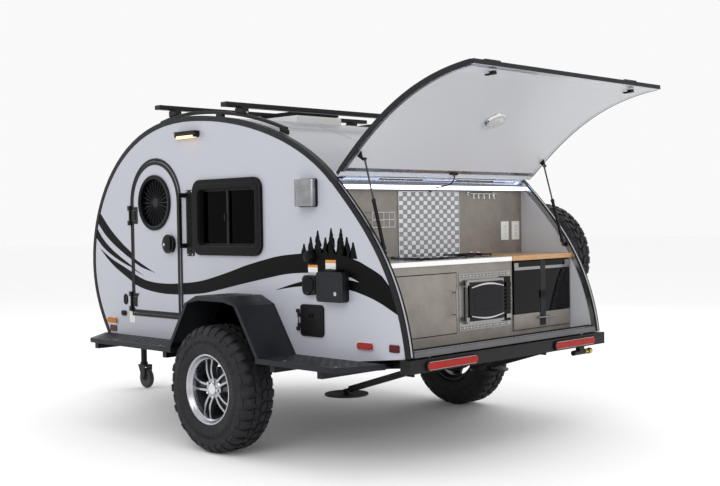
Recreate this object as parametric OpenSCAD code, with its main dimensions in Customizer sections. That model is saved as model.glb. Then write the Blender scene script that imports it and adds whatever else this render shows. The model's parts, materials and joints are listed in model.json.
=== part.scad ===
// Off-road teardrop camping trailer with a rear galley under a lifting hatch.
// X points forward to the coupler, Y to the left, Z up, and the ground is z = 0.
// Each piece is drawn about the wheel axis (x = 0, y = 0), then the whole trailer is moved
// so that the origin lies on the ground under the middle of its overall length.

/* [Body shell] */
// Width over the side walls and their edge trims
body_w = 1749; // [1450:1:2100]
// Height from the body's underside to the crown of the roof
body_h = 1435; // [1250:1:1750]
// Height of the body's underside above the ground
floor_z = 565; // [520:1:640]
// Distance from the wheel axis to the foremost point of the nose
nose_x = 1719; // [1600:1:2100]
// Thickness of a side wall
wall_t = 28; // [20:1:36]
// Thickness of the roof
roof_t = 25; // [15:1:35]
// Thickness of the floor
floor_t = 30; // [20:1:36]
// Thickness of the edge trim
trim_t = 3; // [2:0.5:5]
// Width of the edge trim on the side of the body
trim_w = 30; // [20:1:40]

/* [Hatch] */
// Angle that the hatch stands open from closed
hatch_open = 88; // [60:1:95]
// Thickness of the hatch
hatch_t = 25; // [18:1:35]
// Gap between the closed hatch and the edge of the body
hatch_gap = 5; // [5:0.5:10]
// Radius of the hinge pin
hatch_pin_r = 4; // [3:0.5:6]

/* [Side doors] */
// Width over the door's frame
door_frame_w = 581; // [480:1:640]
// Height from the door sill to the top of the arch, over the frame
door_frame_h = 1042; // [850:1:1100]
// Width of the frame's ring
door_ring_w = 14; // [10:1:20]
// Gap round the door
door_gap = 5; // [5:0.5:8]
// Radius of the porthole's glass
porthole_r = 165; // [120:1:185]

/* [Side windows] */
// Width over the window's frame
window_w = 672; // [500:1:720]
// Height over the window's frame
window_h = 467; // [350:1:520]
// How far the window's frame stands out
window_proud = 18; // [8:1:30]

/* [Running gear] */
// Radius of a tyre
tyre_r = 368.5; // [330:0.5:400]
// Width of a tyre
tyre_w = 235; // [195:1:265]
// Radius of the rim's seat
rim_r = 194.7; // [180:0.1:215]
// Gap between the body and a tyre
wheel_gap = 83; // [60:1:120]
// Radius of the spindle that a wheel turns on
spindle_r = 20; // [15:0.5:25]
// Width of a fender from the body's side
fender_w = 275; // [260:1:340]
// Room over the tyre under the fender's top
fender_room = 166; // [120:1:200]

/* [Chassis] */
// Height of a chassis rail
rail_h = 70; // [50:1:90]
// Width of a chassis rail
rail_w = 50; // [40:1:70]
// Distance from the body's side in to a rail's centre
rail_inset = 300; // [220:1:340]
// Distance from the nose to the coupler's tip
tongue_reach = 1170; // [1000:1:1400]
// Depth of the rear bumper
bumper_d = 70; // [50:1:90]

/* [Galley] */
// Height of the worktop above the ground
worktop_z = 1100; // [1080:1:1130]
// Depth of the cabinet from the bulkhead
cabinet_d = 375; // [340:1:385]
// Thickness of the cabinet's boards
board_t = 16; // [12:1:20]
// Width of the microwave's bay
microwave_w = 475; // [430:1:500]
// Travel of the fridge's slide
fridge_travel = 320; // [200:1:400]

/* [Jack and stabilisers] */
// Radius of the jack's wheel
jack_wheel_r = 80; // [60:1:90]
// Radius of the jack's sliding leg
jack_leg_r = 24; // [18:0.5:30]
// Radius of a stabiliser's foot pad
pad_r = 125; // [80:1:140]

/* [Hidden] */
$fn = 48;

// Clearances that many pieces share
seat = 0.3;
run = 0.05;
move = 5;

half = body_w / 2;
wall_out = half - trim_t;
wall_in = wall_out - wall_t;

// ---- side outline: four curves from the front's foot over the roof to the tail ----
curve_steps = 20;
front_foot = [nose_x - 184, floor_z];
nose = [nose_x, floor_z + 505];
crown = [618, floor_z + body_h];
hinge_line = [-765, floor_z + body_h - 440];
tail = [-1306, floor_z + 52];
kink_x = -832;

function way(angle) = [cos(angle), sin(angle)];
function curve(a, angle_a, reach_a, b, angle_b, reach_b) =
    [a, a + reach_a * way(angle_a), b - reach_b * way(angle_b), b];
outline = [
    curve(front_foot, 55, 198, nose, 90, 198),
    curve(nose, 90, 420, crown, 180, 749),
    curve(crown, 180, 464, hinge_line, 224.5, 436),
    curve(hinge_line, 224.5, 336, tail, 262.9, 453)
];
function on_curve(c, t) =
    pow(1 - t, 3) * c[0] + 3 * pow(1 - t, 2) * t * c[1] + 3 * (1 - t) * t * t * c[2] + pow(t, 3) * c[3];
function along(c, t) =
    pow(1 - t, 2) * (c[1] - c[0]) + 2 * (1 - t) * t * (c[2] - c[1]) + t * t * (c[3] - c[2]);
function unit(v) = v / norm(v);
function outward(c, t) = let (d = unit(along(c, t))) [d[1], -d[0]];
function skin_point(i, t, out) = on_curve(outline[i], t) + out * outward(outline[i], t);
function skin(first, last, out) = [
    for (i = [first:last]) for (k = [(i == first ? 0 : 1):curve_steps]) skin_point(i, k / curve_steps, out)
];
function reversed(list) = [for (i = [len(list) - 1:-1:0]) list[i]];

// Past its two ends the outline runs on straight, so that a cut along the underside is clean
run_on = 150;
function before(out) = skin_point(0, 0, out) - run_on * unit(along(outline[0], 0));
function after(out) = skin_point(3, 1, out) + run_on * unit(along(outline[3], 1));
function whole_skin(out) = concat([before(out)], skin(0, 3, out), [after(out)]);

roof_heights = [for (p = reversed(skin(1, 2, 0))) p];
function roof_z(x) = lookup(x, roof_heights);

rise = (tail[1] - floor_z) / (kink_x - tail[0]);
function underside(x) = x > kink_x ? floor_z : floor_z + (kink_x - x) * rise;

// Everything above the body's underside, raised by up
module above_underside(up = 0) {
    far_x = 3000;
    far_z = 4000;
    polygon([
        [far_x, floor_z + up], [kink_x, floor_z + up], [-far_x, underside(-far_x) + up],
        [-far_x, far_z], [far_x, far_z]
    ]);
}

module body_profile(out) {
    intersection() {
        polygon(whole_skin(out));
        above_underside();
    }
}

// Band between two offsets of the outline, from curve first to curve last
module skin_band(first, last, out, inside) {
    start = first == 0 ? [before(out)] : [];
    start_in = first == 0 ? [before(inside)] : [];
    end = last == 3 ? [after(out)] : [];
    end_in = last == 3 ? [after(inside)] : [];
    intersection() {
        polygon(concat(
            start, skin(first, last, out), end,
            reversed(concat(start_in, skin(first, last, inside), end_in))
        ));
        above_underside();
    }
}

// Draws a side-view shape (x, z) as a solid from y0 to y1
module across(y0, y1) {
    translate([0, y1, 0]) rotate([90, 0, 0]) linear_extrude(y1 - y0) children();
}

module both_sides() {
    children();
    mirror([0, 1, 0]) children();
}

module block(low, high) {
    translate(low) cube(high - low);
}

module bar_y(x, z, r, y0, y1) {
    translate([x, y0, z]) rotate([-90, 0, 0]) cylinder(r = r, h = y1 - y0);
}

module bar_z(x, y, r, z0, z1) {
    translate([x, y, z0]) cylinder(r = r, h = z1 - z0);
}

module rounded(w, h, r) {
    square([w, h - 2 * r], center = true);
    square([w - 2 * r, h], center = true);
    for (x = [-1, 1]) for (y = [-1, 1]) translate([x * (w / 2 - r), y * (h / 2 - r)]) circle(r);
}

// ---- chassis ----
rail_y = half - rail_inset;
rail_top = floor_z;
rail_bottom = rail_top - rail_h;
rail_front = nose_x - 260;
bumper_x = tail[0] - 21;
bumper_front = bumper_x + bumper_d;
bumper_top = floor_z + 45;
bumper_y = half + 18;

module chassis_rails() {
    color("#1b1c1f") {
        both_sides() across(rail_y - rail_w / 2, rail_y + rail_w / 2) polygon([
            [rail_front, rail_top], [kink_x, rail_top], [bumper_front, underside(bumper_front)],
            [bumper_front, underside(bumper_front) - rail_h], [kink_x, rail_bottom],
            [rail_front, rail_bottom]
        ]);
        both_sides() tongue_rail();
    }
}

// ---- tongue ----
tip_x = nose_x + tongue_reach;
tongue_root = [rail_front + 10, rail_y - rail_w];
tongue_end = [tip_x - 270, 46];

module tongue_rail() {
    run_xy = tongue_end - tongue_root;
    side = rail_w / 2 * [-run_xy[1], run_xy[0]] / norm(run_xy);
    translate([0, 0, rail_bottom]) linear_extrude(rail_h) polygon([
        tongue_root + side, tongue_root - side, tongue_end - side, tongue_end + side
    ]);
}

coupler_r = 25.6;
ball_x = tip_x - 52;
coupler_seat_z = rail_bottom + 24;

module coupler() {
    neck_x = tongue_end[0] + 10;
    plate_t = 6;
    color("#26272b") difference() {
        union() {
            block([neck_x, -38, rail_bottom], [ball_x, 38, rail_top]);
            bar_z(ball_x, 0, 52, rail_bottom, rail_top);
            block([ball_x - 90, -16, rail_top], [ball_x + 20, 16, rail_top + 22]);
            block([neck_x - 80, -85, rail_top], [neck_x + 40, 85, rail_top + plate_t]);
        }
        bar_z(ball_x, 0, coupler_r, rail_bottom - 1, coupler_seat_z + 20);
    }
}

// Cross members lie between the rails, and outriggers under the steps
outrigger_h = 40;
member_x = [rail_front - rail_w / 2, 470, -250, -700];
outrigger_x = [nose_x - 440, 500, -520, -900];
step_z = floor_z - 17;
step_t = 30;

module chassis_crossmembers() {
    inner = rail_y - rail_w / 2;
    color("#1b1c1f") {
        for (x = member_x) block([x - 25, -inner, rail_bottom + 5], [x + 25, inner, rail_top - 5]);
        both_sides() for (x = outrigger_x)
            block(
                [x - 20, rail_y + rail_w / 2, step_z - outrigger_h],
                [x + 20, half + fender_w - 25, step_z]
            );
    }
}

// ---- front deck with gas bottle and battery box ----
deck_t = 6;
bottle_r = 155;
bottle_h = 400;
bottle_x = nose_x + 455;
battery_x = nose_x + 190;

module tongue_deck() {
    deck_z = rail_top + deck_t;
    rear = nose_x - 80;
    front = bottle_x + 150;
    color("#232428") {
        translate([0, 0, rail_top]) linear_extrude(deck_t) polygon([
            [rear, 400], [rear, -400], [battery_x + 110, -400], [front, -190], [front, 190],
            [battery_x + 110, 400]
        ]);
        block([battery_x - 95, -170, deck_z], [battery_x + 95, 170, deck_z + 205]);
        block([battery_x - 102, -177, deck_z + 165], [battery_x + 102, 177, deck_z + 225]);
        difference() {
            bar_z(bottle_x, 0, bottle_r + 10, deck_z, deck_z + 45);
            bar_z(bottle_x, 0, bottle_r + seat, deck_z + 5, deck_z + 46);
        }
    }
}

module gas_bottle() {
    z0 = rail_top + deck_t + 5;
    dome = 70;
    color("#e8e8e6") translate([bottle_x, 0, z0]) {
        rotate_extrude() polygon(concat(
            [[0, 0], [bottle_r - 25, 0], [bottle_r, 25]],
            [for (a = [0:10:80]) [bottle_r * cos(a), bottle_h - dome + dome * sin(a)]],
            [[0, bottle_h]]
        ));
        translate([0, 0, bottle_h - 6]) cylinder(r = 18, h = 40);
        difference() {
            translate([0, 0, bottle_h - 24]) cylinder(r = 95, h = 90);
            translate([0, 0, bottle_h - 30]) cylinder(r = 91, h = 110);
            translate([-60, -200, bottle_h + 15]) cube([120, 400, 30]);
        }
    }
}

// ---- axle, wheels ----
wheel_y = half + wheel_gap + tyre_w / 2;
tube_x = 130;
tube_h = 70;
arm_y = half - 62;

module axle() {
    color("#202125") {
        block([tube_x - 35, -arm_y, rail_bottom - tube_h], [tube_x + 35, arm_y, rail_bottom]);
        both_sides() {
            across(arm_y, arm_y + 30) polygon([
                [tube_x + 35, rail_bottom - tube_h + 10], [tube_x + 35, rail_bottom - 5],
                [tube_x - 40, rail_bottom - 5], [-45, tyre_r + 25], [-45, tyre_r - 30], [20, tyre_r - 40]
            ]);
            bar_y(0, tyre_r, 35, arm_y + 30, wheel_y - 70);
            bar_y(0, tyre_r, 127, wheel_y - 100, wheel_y - 60);
            bar_y(0, tyre_r, spindle_r, wheel_y - 60, wheel_y + 30);
        }
    }
}

// Cross-section of the tyre as [distance from the axle, distance from its middle]
module tyre() {
    w = tyre_w / 2;
    color("#2a2b2e") translate([0, wheel_y, tyre_r]) rotate([90, 0, 0]) rotate_extrude($fn = 96) polygon([
        [rim_r + seat, -w + 25], [rim_r + 12, -w + 14], [rim_r + 60, -w + 2], [tyre_r - 75, -w],
        [tyre_r - 38, -w + 6], [tyre_r - 12, -w + 22], [tyre_r, -w + 42], [tyre_r, w - 42],
        [tyre_r - 12, w - 22], [tyre_r - 38, w - 6], [tyre_r - 75, w], [rim_r + 60, w - 2],
        [rim_r + 12, w - 14], [rim_r + seat, w - 25]
    ]);
}

spokes = 5;
rim_depth = 190;

module rim() {
    lip = rim_depth / 2;
    spoke_face = wheel_y + 62;
    color("#b9bbc0") {
        translate([0, wheel_y, tyre_r]) rotate([-90, 0, 0]) rotate_extrude($fn = 96) polygon([
            [rim_r - 10, -lip], [rim_r, -lip], [rim_r, lip - 2], [rim_r + 9, lip + 6.4],
            [rim_r + 9, lip + 10], [rim_r - 6, lip + 10], [rim_r - 10, lip - 2]
        ]);
        difference() {
            bar_y(0, tyre_r, rim_r - 8, spoke_face - 40, spoke_face);
            bar_y(0, tyre_r, spindle_r + run, spoke_face - 80, spoke_face - 25);
            for (k = [0:spokes - 1]) translate([0, 0, tyre_r]) rotate([0, k * 360 / spokes, 0])
                across(spoke_face - 50, spoke_face + 10) polygon([
                    [60, -28], [rim_r - 22, -78], [rim_r - 10, -40], [rim_r - 10, 40],
                    [rim_r - 22, 78], [60, 28]
                ]);
        }
        bar_y(0, tyre_r, 34, spoke_face, spoke_face + 14);
        difference() {
            bar_y(0, tyre_r, 55, wheel_y - 50, spoke_face - 40);
            bar_y(0, tyre_r, spindle_r + run, wheel_y - 51, spoke_face - 39);
        }
    }
}

// ---- fenders and steps ----
fender_t = 5;
fender_z = 2 * tyre_r + fender_room;
foot_z = step_z + step_t;
fender_foot = tyre_r + 62;
fender_hip = tyre_r - 120;
fender_top = tyre_r - 233;

function fender_line(in) = [
    [fender_foot - in, foot_z], [fender_hip - in, fender_z - 48], [fender_top - in / 2, fender_z - in],
    [in / 2 - fender_top, fender_z - in], [in - fender_hip, fender_z - 48], [in - fender_foot, foot_z]
];

module fenders() {
    outer = half + fender_w;
    color("#232529") both_sides() {
        across(wall_out, outer) polygon(concat(fender_line(0), reversed(fender_line(fender_t))));
        across(outer - fender_t, outer) polygon(concat(fender_line(fender_t), reversed(fender_line(28))));
    }
}

step_tip_x = nose_x - 154;
step_corner_x = nose_x - 404;

module side_steps() {
    inner = half + 2;
    outer = half + fender_w;
    inboard = fender_foot - 30;
    color("#222327") both_sides() translate([0, 0, step_z]) linear_extrude(step_t) {
        polygon([[inboard, inner], [step_tip_x, inner], [step_corner_x, outer], [inboard, outer]]);
        polygon([[-inboard, inner], [-1140, inner], [-1035, outer], [-inboard, outer]]);
    }
}

module rear_bumper() {
    color("#1d1e21") {
        block([bumper_x, -bumper_y, bumper_top - 70], [bumper_front, bumper_y, bumper_top]);
        bar_y(bumper_x + 35, bumper_top - 108, 16, -760, -600);
        block([bumper_x + 20, -700, bumper_top - 108], [bumper_x + 50, -650, bumper_top - 70]);
    }
}

module lamps() {
    color("#b81512") {
        both_sides() {
            translate([bumper_x - 12, 565, bumper_top - 38]) rotate([90, 0, 90]) linear_extrude(12)
                rounded(410, 42, 20);
            across(wall_out, wall_out + 14) translate([-990, floor_z + 97]) rounded(113, 38, 18);
            across(wall_out, wall_out + 8) translate([-1202, floor_z + 98]) rounded(70, 40, 8);
            across(wall_out, wall_out + 14) translate([nose_x - 243, floor_z + 101]) rounded(115, 40, 19);
            across(wall_out, wall_out + 8) translate([nose_x - 250, floor_z + 47]) rounded(76, 40, 8);
        }
    }
}

// ---- body shell ----
module floor_panel() {
    color("#5a5a5c") across(-wall_in, wall_in) difference() {
        union() {
            body_profile(-trim_t - roof_t);
            intersection() {
                body_profile(-trim_t);
                translate([-3000, 0]) square([3000, 4000]);
            }
        }
        above_underside(floor_t);
    }
}

door_x = 936.5;
door_sill = floor_z + 147;
door_half = door_frame_w / 2;
arch_z = door_sill + door_frame_h - door_half;
door_proud = 6;

// Door shape in side view, shrunk by in
module door_shape(in) {
    r = door_half - in;
    translate([door_x, arch_z]) circle(r, $fn = 96);
    translate([door_x - r, door_sill + in]) square([2 * r, arch_z - door_sill - in]);
}

window_x = 176;
window_z = floor_z + 796;
window_rim = 52;

module window_shape(in) {
    translate([window_x, window_z]) rounded(window_w - 2 * in, window_h - 2 * in, 72 - in / 2);
}

service_x = -574;
service_z = floor_z + 210;
service_w = 196;
service_h = 180;

module service_shape(in) {
    translate([service_x, service_z]) rounded(service_w - 2 * in, service_h - 2 * in, 26);
}

module side_wall(service) {
    color("#c4c6d0") {
        across(wall_in, wall_out) difference() {
            body_profile(-trim_t);
            door_shape(door_ring_w);
            window_shape(window_rim);
            if (service) service_shape(12);
        }
        if (service) difference() {
            across(wall_in - 110, wall_in) service_shape(4);
            across(wall_in - 102, wall_in + 1) service_shape(12);
        }
    }
}

module side_wall_left() {
    side_wall(true);
}

module side_wall_right() {
    mirror([0, 1, 0]) side_wall(false);
}

// The hinge axis stands off the skin at the roof's rear end
hinge_off = 15;
knuckle_r = 8;
axis_xz = hinge_line + hinge_off * outward(outline[3], 0);
hinge_spans = [[-800, -520], [-150, 150], [520, 800]];
knuckle_gap = 2;

module roof_panel() {
    back = unit(along(outline[3], 0));
    up = outward(outline[3], 0);
    color("#aeb0b5") {
        across(-wall_in, wall_in) skin_band(0, 2, -trim_t, -trim_t - roof_t);
        for (span = hinge_spans) {
            bar_y(axis_xz[0], axis_xz[1], knuckle_r, span[0], span[1]);
            across(span[0], span[1]) polygon([
                hinge_line - 30 * back - trim_t * up, hinge_line - trim_t * up,
                axis_xz - 2 * up, hinge_line - 30 * back + 1 * up
            ]);
        }
        bar_y(axis_xz[0], axis_xz[1], hatch_pin_r, hinge_spans[0][0], hinge_spans[2][1]);
    }
}

module edge_trims() {
    color("#2b2c30") both_sides() {
        across(wall_out, half) skin_band(0, 3, 0, -trim_w);
        across(half - 40, half) skin_band(0, 3, 0, -trim_t);
    }
}

// ---- openings' frames and glass ----
module opening_frames() {
    color("#17181a") both_sides() {
        across(wall_out, wall_out + door_proud) difference() {
            door_shape(0);
            door_shape(door_ring_w);
        }
        across(wall_out, wall_out + window_proud) difference() {
            window_shape(0);
            window_shape(window_rim + 6);
        }
        across(wall_in - 4, wall_out) difference() {
            window_shape(window_rim);
            window_shape(window_rim + 6);
        }
    }
}

module window_panes() {
    color("#101216", 0.6) both_sides() across(wall_in, wall_in + 5) window_shape(window_rim + 6);
}

// ---- side doors ----
door_pin = [door_x + door_half - door_ring_w + 9, wall_out + door_proud + 8];
door_hinge_z = [door_sill + 95, arch_z - 80];
door_hinge_h = 130;
door_pin_r = 3.5;
door_knuckle_r = 7;
porthole_rim = 16;
latch_xz = [door_x - 172, door_sill + 483];

module door_leaf() {
    in = door_ring_w + door_gap;
    color("#c4c6d0") across(wall_in, wall_out + door_proud) difference() {
        door_shape(in);
        translate([door_x, arch_z]) circle(porthole_r, $fn = 96);
    }
    color("#17181a") {
        across(wall_out + door_proud, wall_out + door_proud + 10) translate([door_x, arch_z]) difference() {
            circle(porthole_r + porthole_rim, $fn = 96);
            circle(porthole_r, $fn = 96);
        }
        across(wall_out + door_proud, wall_out + door_proud + 22) translate(latch_xz) rounded(112, 112, 50);
        for (z = door_hinge_z) difference() {
            union() {
                bar_z(door_pin[0], door_pin[1], door_knuckle_r, z - door_hinge_h / 4, z + door_hinge_h / 4);
                block(
                    [door_pin[0] - 60, wall_out + door_proud, z - door_hinge_h / 4],
                    [door_pin[0] - move - 9, wall_out + door_proud + 5, z + door_hinge_h / 4]
                );
                block(
                    [door_pin[0] - move - 10, wall_out + door_proud + 1, z - door_hinge_h / 4],
                    [door_pin[0], wall_out + door_proud + 5, z + door_hinge_h / 4]
                );
            }
            bar_z(door_pin[0], door_pin[1], door_pin_r + run, z - door_hinge_h, z + door_hinge_h);
        }
    }
}

module door_glass() {
    color("#101216", 0.6) across(wall_out - 10, wall_out - 5) translate([door_x, arch_z])
        circle(porthole_r, $fn = 96);
}

// The half of each door hinge that stays on the wall, with its pin
module door_hinge_fixed() {
    for (z = door_hinge_z) {
        bar_z(door_pin[0], door_pin[1], door_pin_r, z - door_hinge_h / 2, z + door_hinge_h / 2);
        for (side = [-1, 1]) {
            low = side < 0 ? z - door_hinge_h / 2 : z + door_hinge_h / 4 + 1;
            high = side < 0 ? z - door_hinge_h / 4 - 1 : z + door_hinge_h / 2;
            bar_z(door_pin[0], door_pin[1], door_knuckle_r, low, high);
            block(
                [door_pin[0], wall_out + door_proud, low],
                [door_pin[0] + 36, wall_out + door_proud + 4, high]
            );
            block([door_pin[0] + 6, wall_out, low], [door_pin[0] + 36, wall_out + door_proud, high]);
        }
    }
}

// ---- fittings on the outside of the walls ----
box_x = -767;
box_z = floor_z + 405;
box_w = 208;
box_h = 164;
box_back = 26;
box_lid = 24;
box_pin = [wall_out + box_back + 13, box_z + box_h / 2 + 9];
grab_x = 612;
grab_z = [floor_z + 620, floor_z + 938];
strut_y = wall_in - 32;
strut_pin_r = 4;

module power_box() {
    difference() {
        across(wall_out, wall_out + box_back) translate([box_x, box_z]) rounded(box_w, box_h, 18);
        across(wall_out + 4, wall_out + box_back + 1) translate([box_x, box_z])
            rounded(box_w - 16, box_h - 16, 14);
    }
    translate([box_x - 30, box_pin[0], box_pin[1]]) rotate([0, 90, 0]) cylinder(r = 3, h = 60);
    for (side = [-1, 1]) translate([box_x + side * 36, 0, 0]) {
        translate([-9, box_pin[0], box_pin[1]]) rotate([0, 90, 0]) cylinder(r = 6, h = 18);
        block([-9, wall_out, box_pin[1] - 6], [9, box_pin[0], box_pin[1] + 6]);
    }
}

service_pin = [service_x + service_w / 2 + 9, wall_out + 11];

module service_hinge_fixed() {
    bar_z(service_pin[0], service_pin[1], 3, service_z - 60, service_z + 60);
    for (side = [-1, 1]) translate([0, 0, side * 50]) {
        bar_z(service_pin[0], service_pin[1], 6, service_z - 10, service_z + 10);
        block(
            [service_pin[0], wall_out, service_z - 10],
            [service_pin[0] + 22, service_pin[1] - 2, service_z + 10]
        );
    }
}

module wall_fittings() {
    color("#1a1b1e") {
        both_sides() {
            across(wall_out, wall_out + 38) translate([550, roof_z(550) - 118]) rounded(220, 38, 16);
            across(wall_out, wall_out + 5) translate([554, floor_z + 763]) rounded(80, 416, 12);
            for (z = grab_z) across(wall_out, wall_out + 52) translate([grab_x, z]) rounded(30, 30, 8);
            block([grab_x - 11, wall_out + 34, grab_z[0] + 14], [grab_x + 11, wall_out + 52, grab_z[1] - 14]);
            door_hinge_fixed();
            across(wall_out, wall_out + 3) translate([nose_x - 409, floor_z + 252]) rounded(55, 74, 27);
            strut_foot_bracket();
        }
        power_box();
        service_hinge_fixed();
        across(wall_out, wall_out + 4) difference() {
            service_shape(0);
            service_shape(12);
        }
        across(wall_out, wall_out + 20) translate([-567, floor_z + 565]) circle(37);
        across(wall_out, wall_out + 28) translate([-575, floor_z + 409]) rounded(108, 110, 30);
        across(wall_out, wall_out + 12) translate([-559, floor_z + 921]) rounded(150, 158, 14);
    }
    color("#c9cbd0") difference() {
        translate([-559, wall_out + 12, floor_z + 846]) cylinder(r = 70, h = 150);
        block([-700, 0, floor_z], [-400, wall_out + 12, floor_z + 1100]);
        translate([-559, wall_out + 12, floor_z + 845]) cylinder(r = 64, h = 145);
    }
}

// ---- hatch ----
hatch_half = half - 8;
hatch_clear = 14;

module hatch_place() {
    translate([axis_xz[0], 0, axis_xz[1]]) rotate([0, hatch_open, 0])
        translate([-axis_xz[0], 0, -axis_xz[1]]) children();
}

function turned(p) = [
    axis_xz[0] + (p[0] - axis_xz[0]) * cos(hatch_open) + (p[1] - axis_xz[1]) * sin(hatch_open),
    axis_xz[1] - (p[0] - axis_xz[0]) * sin(hatch_open) + (p[1] - axis_xz[1]) * cos(hatch_open)
];
hatch_lip = [for (out = [hatch_gap, hatch_gap + hatch_t]) turned(skin_point(3, 1, out))[0]];
origin_x = (tip_x + min(hatch_lip)) / 2;

// The part of the hatch's curve past its hinge
function hatch_skin(out) = concat(
    [skin_point(3, 0, out) + hatch_clear * unit(along(outline[3], 0))],
    [for (k = [1:curve_steps]) skin_point(3, k / curve_steps, out)]
);

module hatch_panel() {
    back = unit(along(outline[3], 0));
    up = outward(outline[3], 0);
    spans = [
        for (i = [0:len(hinge_spans) - 2])
            [hinge_spans[i][1] + knuckle_gap, hinge_spans[i + 1][0] - knuckle_gap]
    ];
    color("#d4d6da") hatch_place() difference() {
        union() {
            across(-hatch_half, hatch_half)
                polygon(concat(hatch_skin(hatch_gap + hatch_t), reversed(hatch_skin(hatch_gap))));
            for (span = spans) {
                bar_y(axis_xz[0], axis_xz[1], knuckle_r, span[0], span[1]);
                across(span[0], span[1]) polygon([
                    axis_xz + 3 * up, axis_xz - 3 * up,
                    axis_xz - 3 * up + (hatch_clear + 1) * back, axis_xz + 3 * up + (hatch_clear + 1) * back
                ]);
            }
        }
        bar_y(axis_xz[0], axis_xz[1], hatch_pin_r + run, -hatch_half, hatch_half);
    }
}

handle_y = 640;
strut_head_t = 0.18;
strut_head = skin_point(3, strut_head_t, -36);
strut_foot_t = 0.50;
strut_foot = skin_point(3, strut_foot_t, -24);

// Frame on the hatch at a point of its curve: x along the curve to the lip, z outward
module on_hatch(t, out, y) {
    p = skin_point(3, t, out);
    d = along(outline[3], t);
    translate([p[0], y, p[1]]) rotate([0, atan2(-d[1], d[0]), 0]) rotate([180, 0, 0]) children();
}

module hatch_fittings() {
    top = hatch_gap + hatch_t;
    color("#1c1d20") hatch_place() {
        for (y = [-handle_y, handle_y]) {
            on_hatch(0.95, top, y) translate([-38, -30, 0]) cube([76, 60, 10]);
            on_hatch(0.95, top + 10, y) translate([-12, -62, 0]) cube([24, 124, 16]);
            on_hatch(0.95, hatch_gap - 22 - seat, y) translate([-14, -14, 0]) cube([28, 28, 22]);
        }
        both_sides() {
            bar_y(strut_head[0], strut_head[1], 9, strut_y + 12, strut_y + 17);
            across(strut_y + 12, strut_y + 17) polygon([
                skin_point(3, strut_head_t - 0.02, hatch_gap - seat),
                skin_point(3, strut_head_t + 0.02, hatch_gap - seat),
                strut_head + [3, -4], strut_head + [8, 2]
            ]);
        }
    }
    color("#f2f0ea") hatch_place() on_hatch(0.5, hatch_gap - 22, 0) cylinder(r = 62, h = 20);
}

// ---- gas struts: the cylinder turns on the wall, the rod slides out to the hatch ----
strut_r = 10;
rod_r = 5;
strut_head_open = turned(strut_head);
strut_dir = unit(strut_head_open - strut_foot);
strut_len = norm(strut_head_open - strut_foot);
strut_closed_len = norm(strut_head - strut_foot);
strut_tube = [14, strut_closed_len - 32];

module on_strut() {
    translate([strut_foot[0], strut_y, strut_foot[1]])
        rotate([0, atan2(strut_dir[0], strut_dir[1]), 0]) children();
}

module strut_foot_bracket() {
    bar_y(strut_foot[0], strut_foot[1], strut_pin_r, strut_y - 9, wall_in - 6);
    bar_y(strut_foot[0], strut_foot[1], 14, wall_in - 8, wall_in);
}

module strut_cylinder() {
    color("#17181a") on_strut() difference() {
        union() {
            rotate([90, 0, 0]) cylinder(r = 9, h = 14, center = true);
            cylinder(r = 6, h = strut_tube[0] + 2);
            translate([0, 0, strut_tube[0]]) cylinder(r = strut_r, h = strut_tube[1] - strut_tube[0]);
        }
        rotate([90, 0, 0]) cylinder(r = strut_pin_r + run, h = 30, center = true);
        translate([0, 0, strut_tube[0] + 4]) cylinder(r = rod_r + seat, h = strut_tube[1]);
    }
}

module strut_rod() {
    color("#3a3b3f") on_strut() {
        rod_low = strut_tube[1] - 12 - strut_len;
        translate([0, 0, strut_len]) {
            translate([0, 0, rod_low]) cylinder(r = rod_r, h = -rod_low - 7);
            rotate([90, 0, 0]) cylinder(r = 9, h = 14, center = true);
        }
    }
}

// ---- galley ----
back_x = -735;
bulkhead_t = 20;
cab_x = back_x - cabinet_d;
cab_low = underside(cab_x) + floor_t + 3;
top_t = 27;
cab_top = worktop_z - top_t;
micro_left = 247;
micro_right = micro_left - microwave_w;

module galley_bulkhead() {
    color("#6d675f") {
        across(-wall_in, wall_in) intersection() {
            body_profile(-trim_t - roof_t);
            translate([back_x, 0]) square([bulkhead_t, 3000]);
            above_underside(floor_t);
        }
        across(-wall_in, wall_in) intersection() {
            skin_band(2, 3, -trim_t - roof_t, -trim_t - roof_t - 40);
            translate([back_x - 34, hinge_line[1] - 60]) square([34, 200]);
            translate([hinge_line[0] - 12, 0]) square([200, 3000]);
        }
    }
}

// Bays of the cabinet as [y right, y left, z low, z high]
cupboard_bay = [micro_left + board_t, wall_in - 34, cab_low + 55, cab_top - 44];
micro_bay = [micro_right + 26, micro_left - 26, cab_low + 92, cab_top - 80];
fridge_bay = [-wall_in + board_t, micro_right - board_t, cab_low + 26, cab_top];

module bay_hole(bay, deep) {
    block([cab_x - 1, bay[0], bay[2]], [cab_x + deep, bay[1], bay[3]]);
}

module galley_cabinet() {
    color("#7b746b") difference() {
        block([cab_x, -wall_in, cab_low], [back_x, wall_in, cab_top]);
        bay_hole(cupboard_bay, board_t + 1);
        block(
            [cab_x + board_t, micro_left + board_t / 2, cab_low + board_t],
            [back_x - 6, wall_in - board_t, cab_top - board_t]
        );
        bay_hole(micro_bay, cabinet_d - 6);
        bay_hole(fridge_bay, cabinet_d - 6);
        unit_hole(sink_y, sink_w, worktop_z - bowl_deep - 2);
    }
    color("#8f9196") for (side = [0, 1]) {
        wall_y = fridge_bay[side];
        inside = wall_y + (1 - 2 * side) * 16;
        block(
            [cab_x + 14, min(wall_y, inside), tray_z + 46],
            [back_x - 20, max(wall_y, inside), tray_z + 60 - seat]
        );
    }
}

sink_y = 330;
sink_w = 330;
hob_y = -50;
hob_w = 330;
unit_x = [cab_x + 45, back_x - 55];
bowl_deep = 100;

// Hole from height low up through the worktop for a drop-in unit
module unit_hole(y, w, low) {
    block([unit_x[0] + 12, y - w / 2 + 12, low], [unit_x[1] - 12, y + w / 2 - 12, worktop_z + 1]);
}

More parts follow.
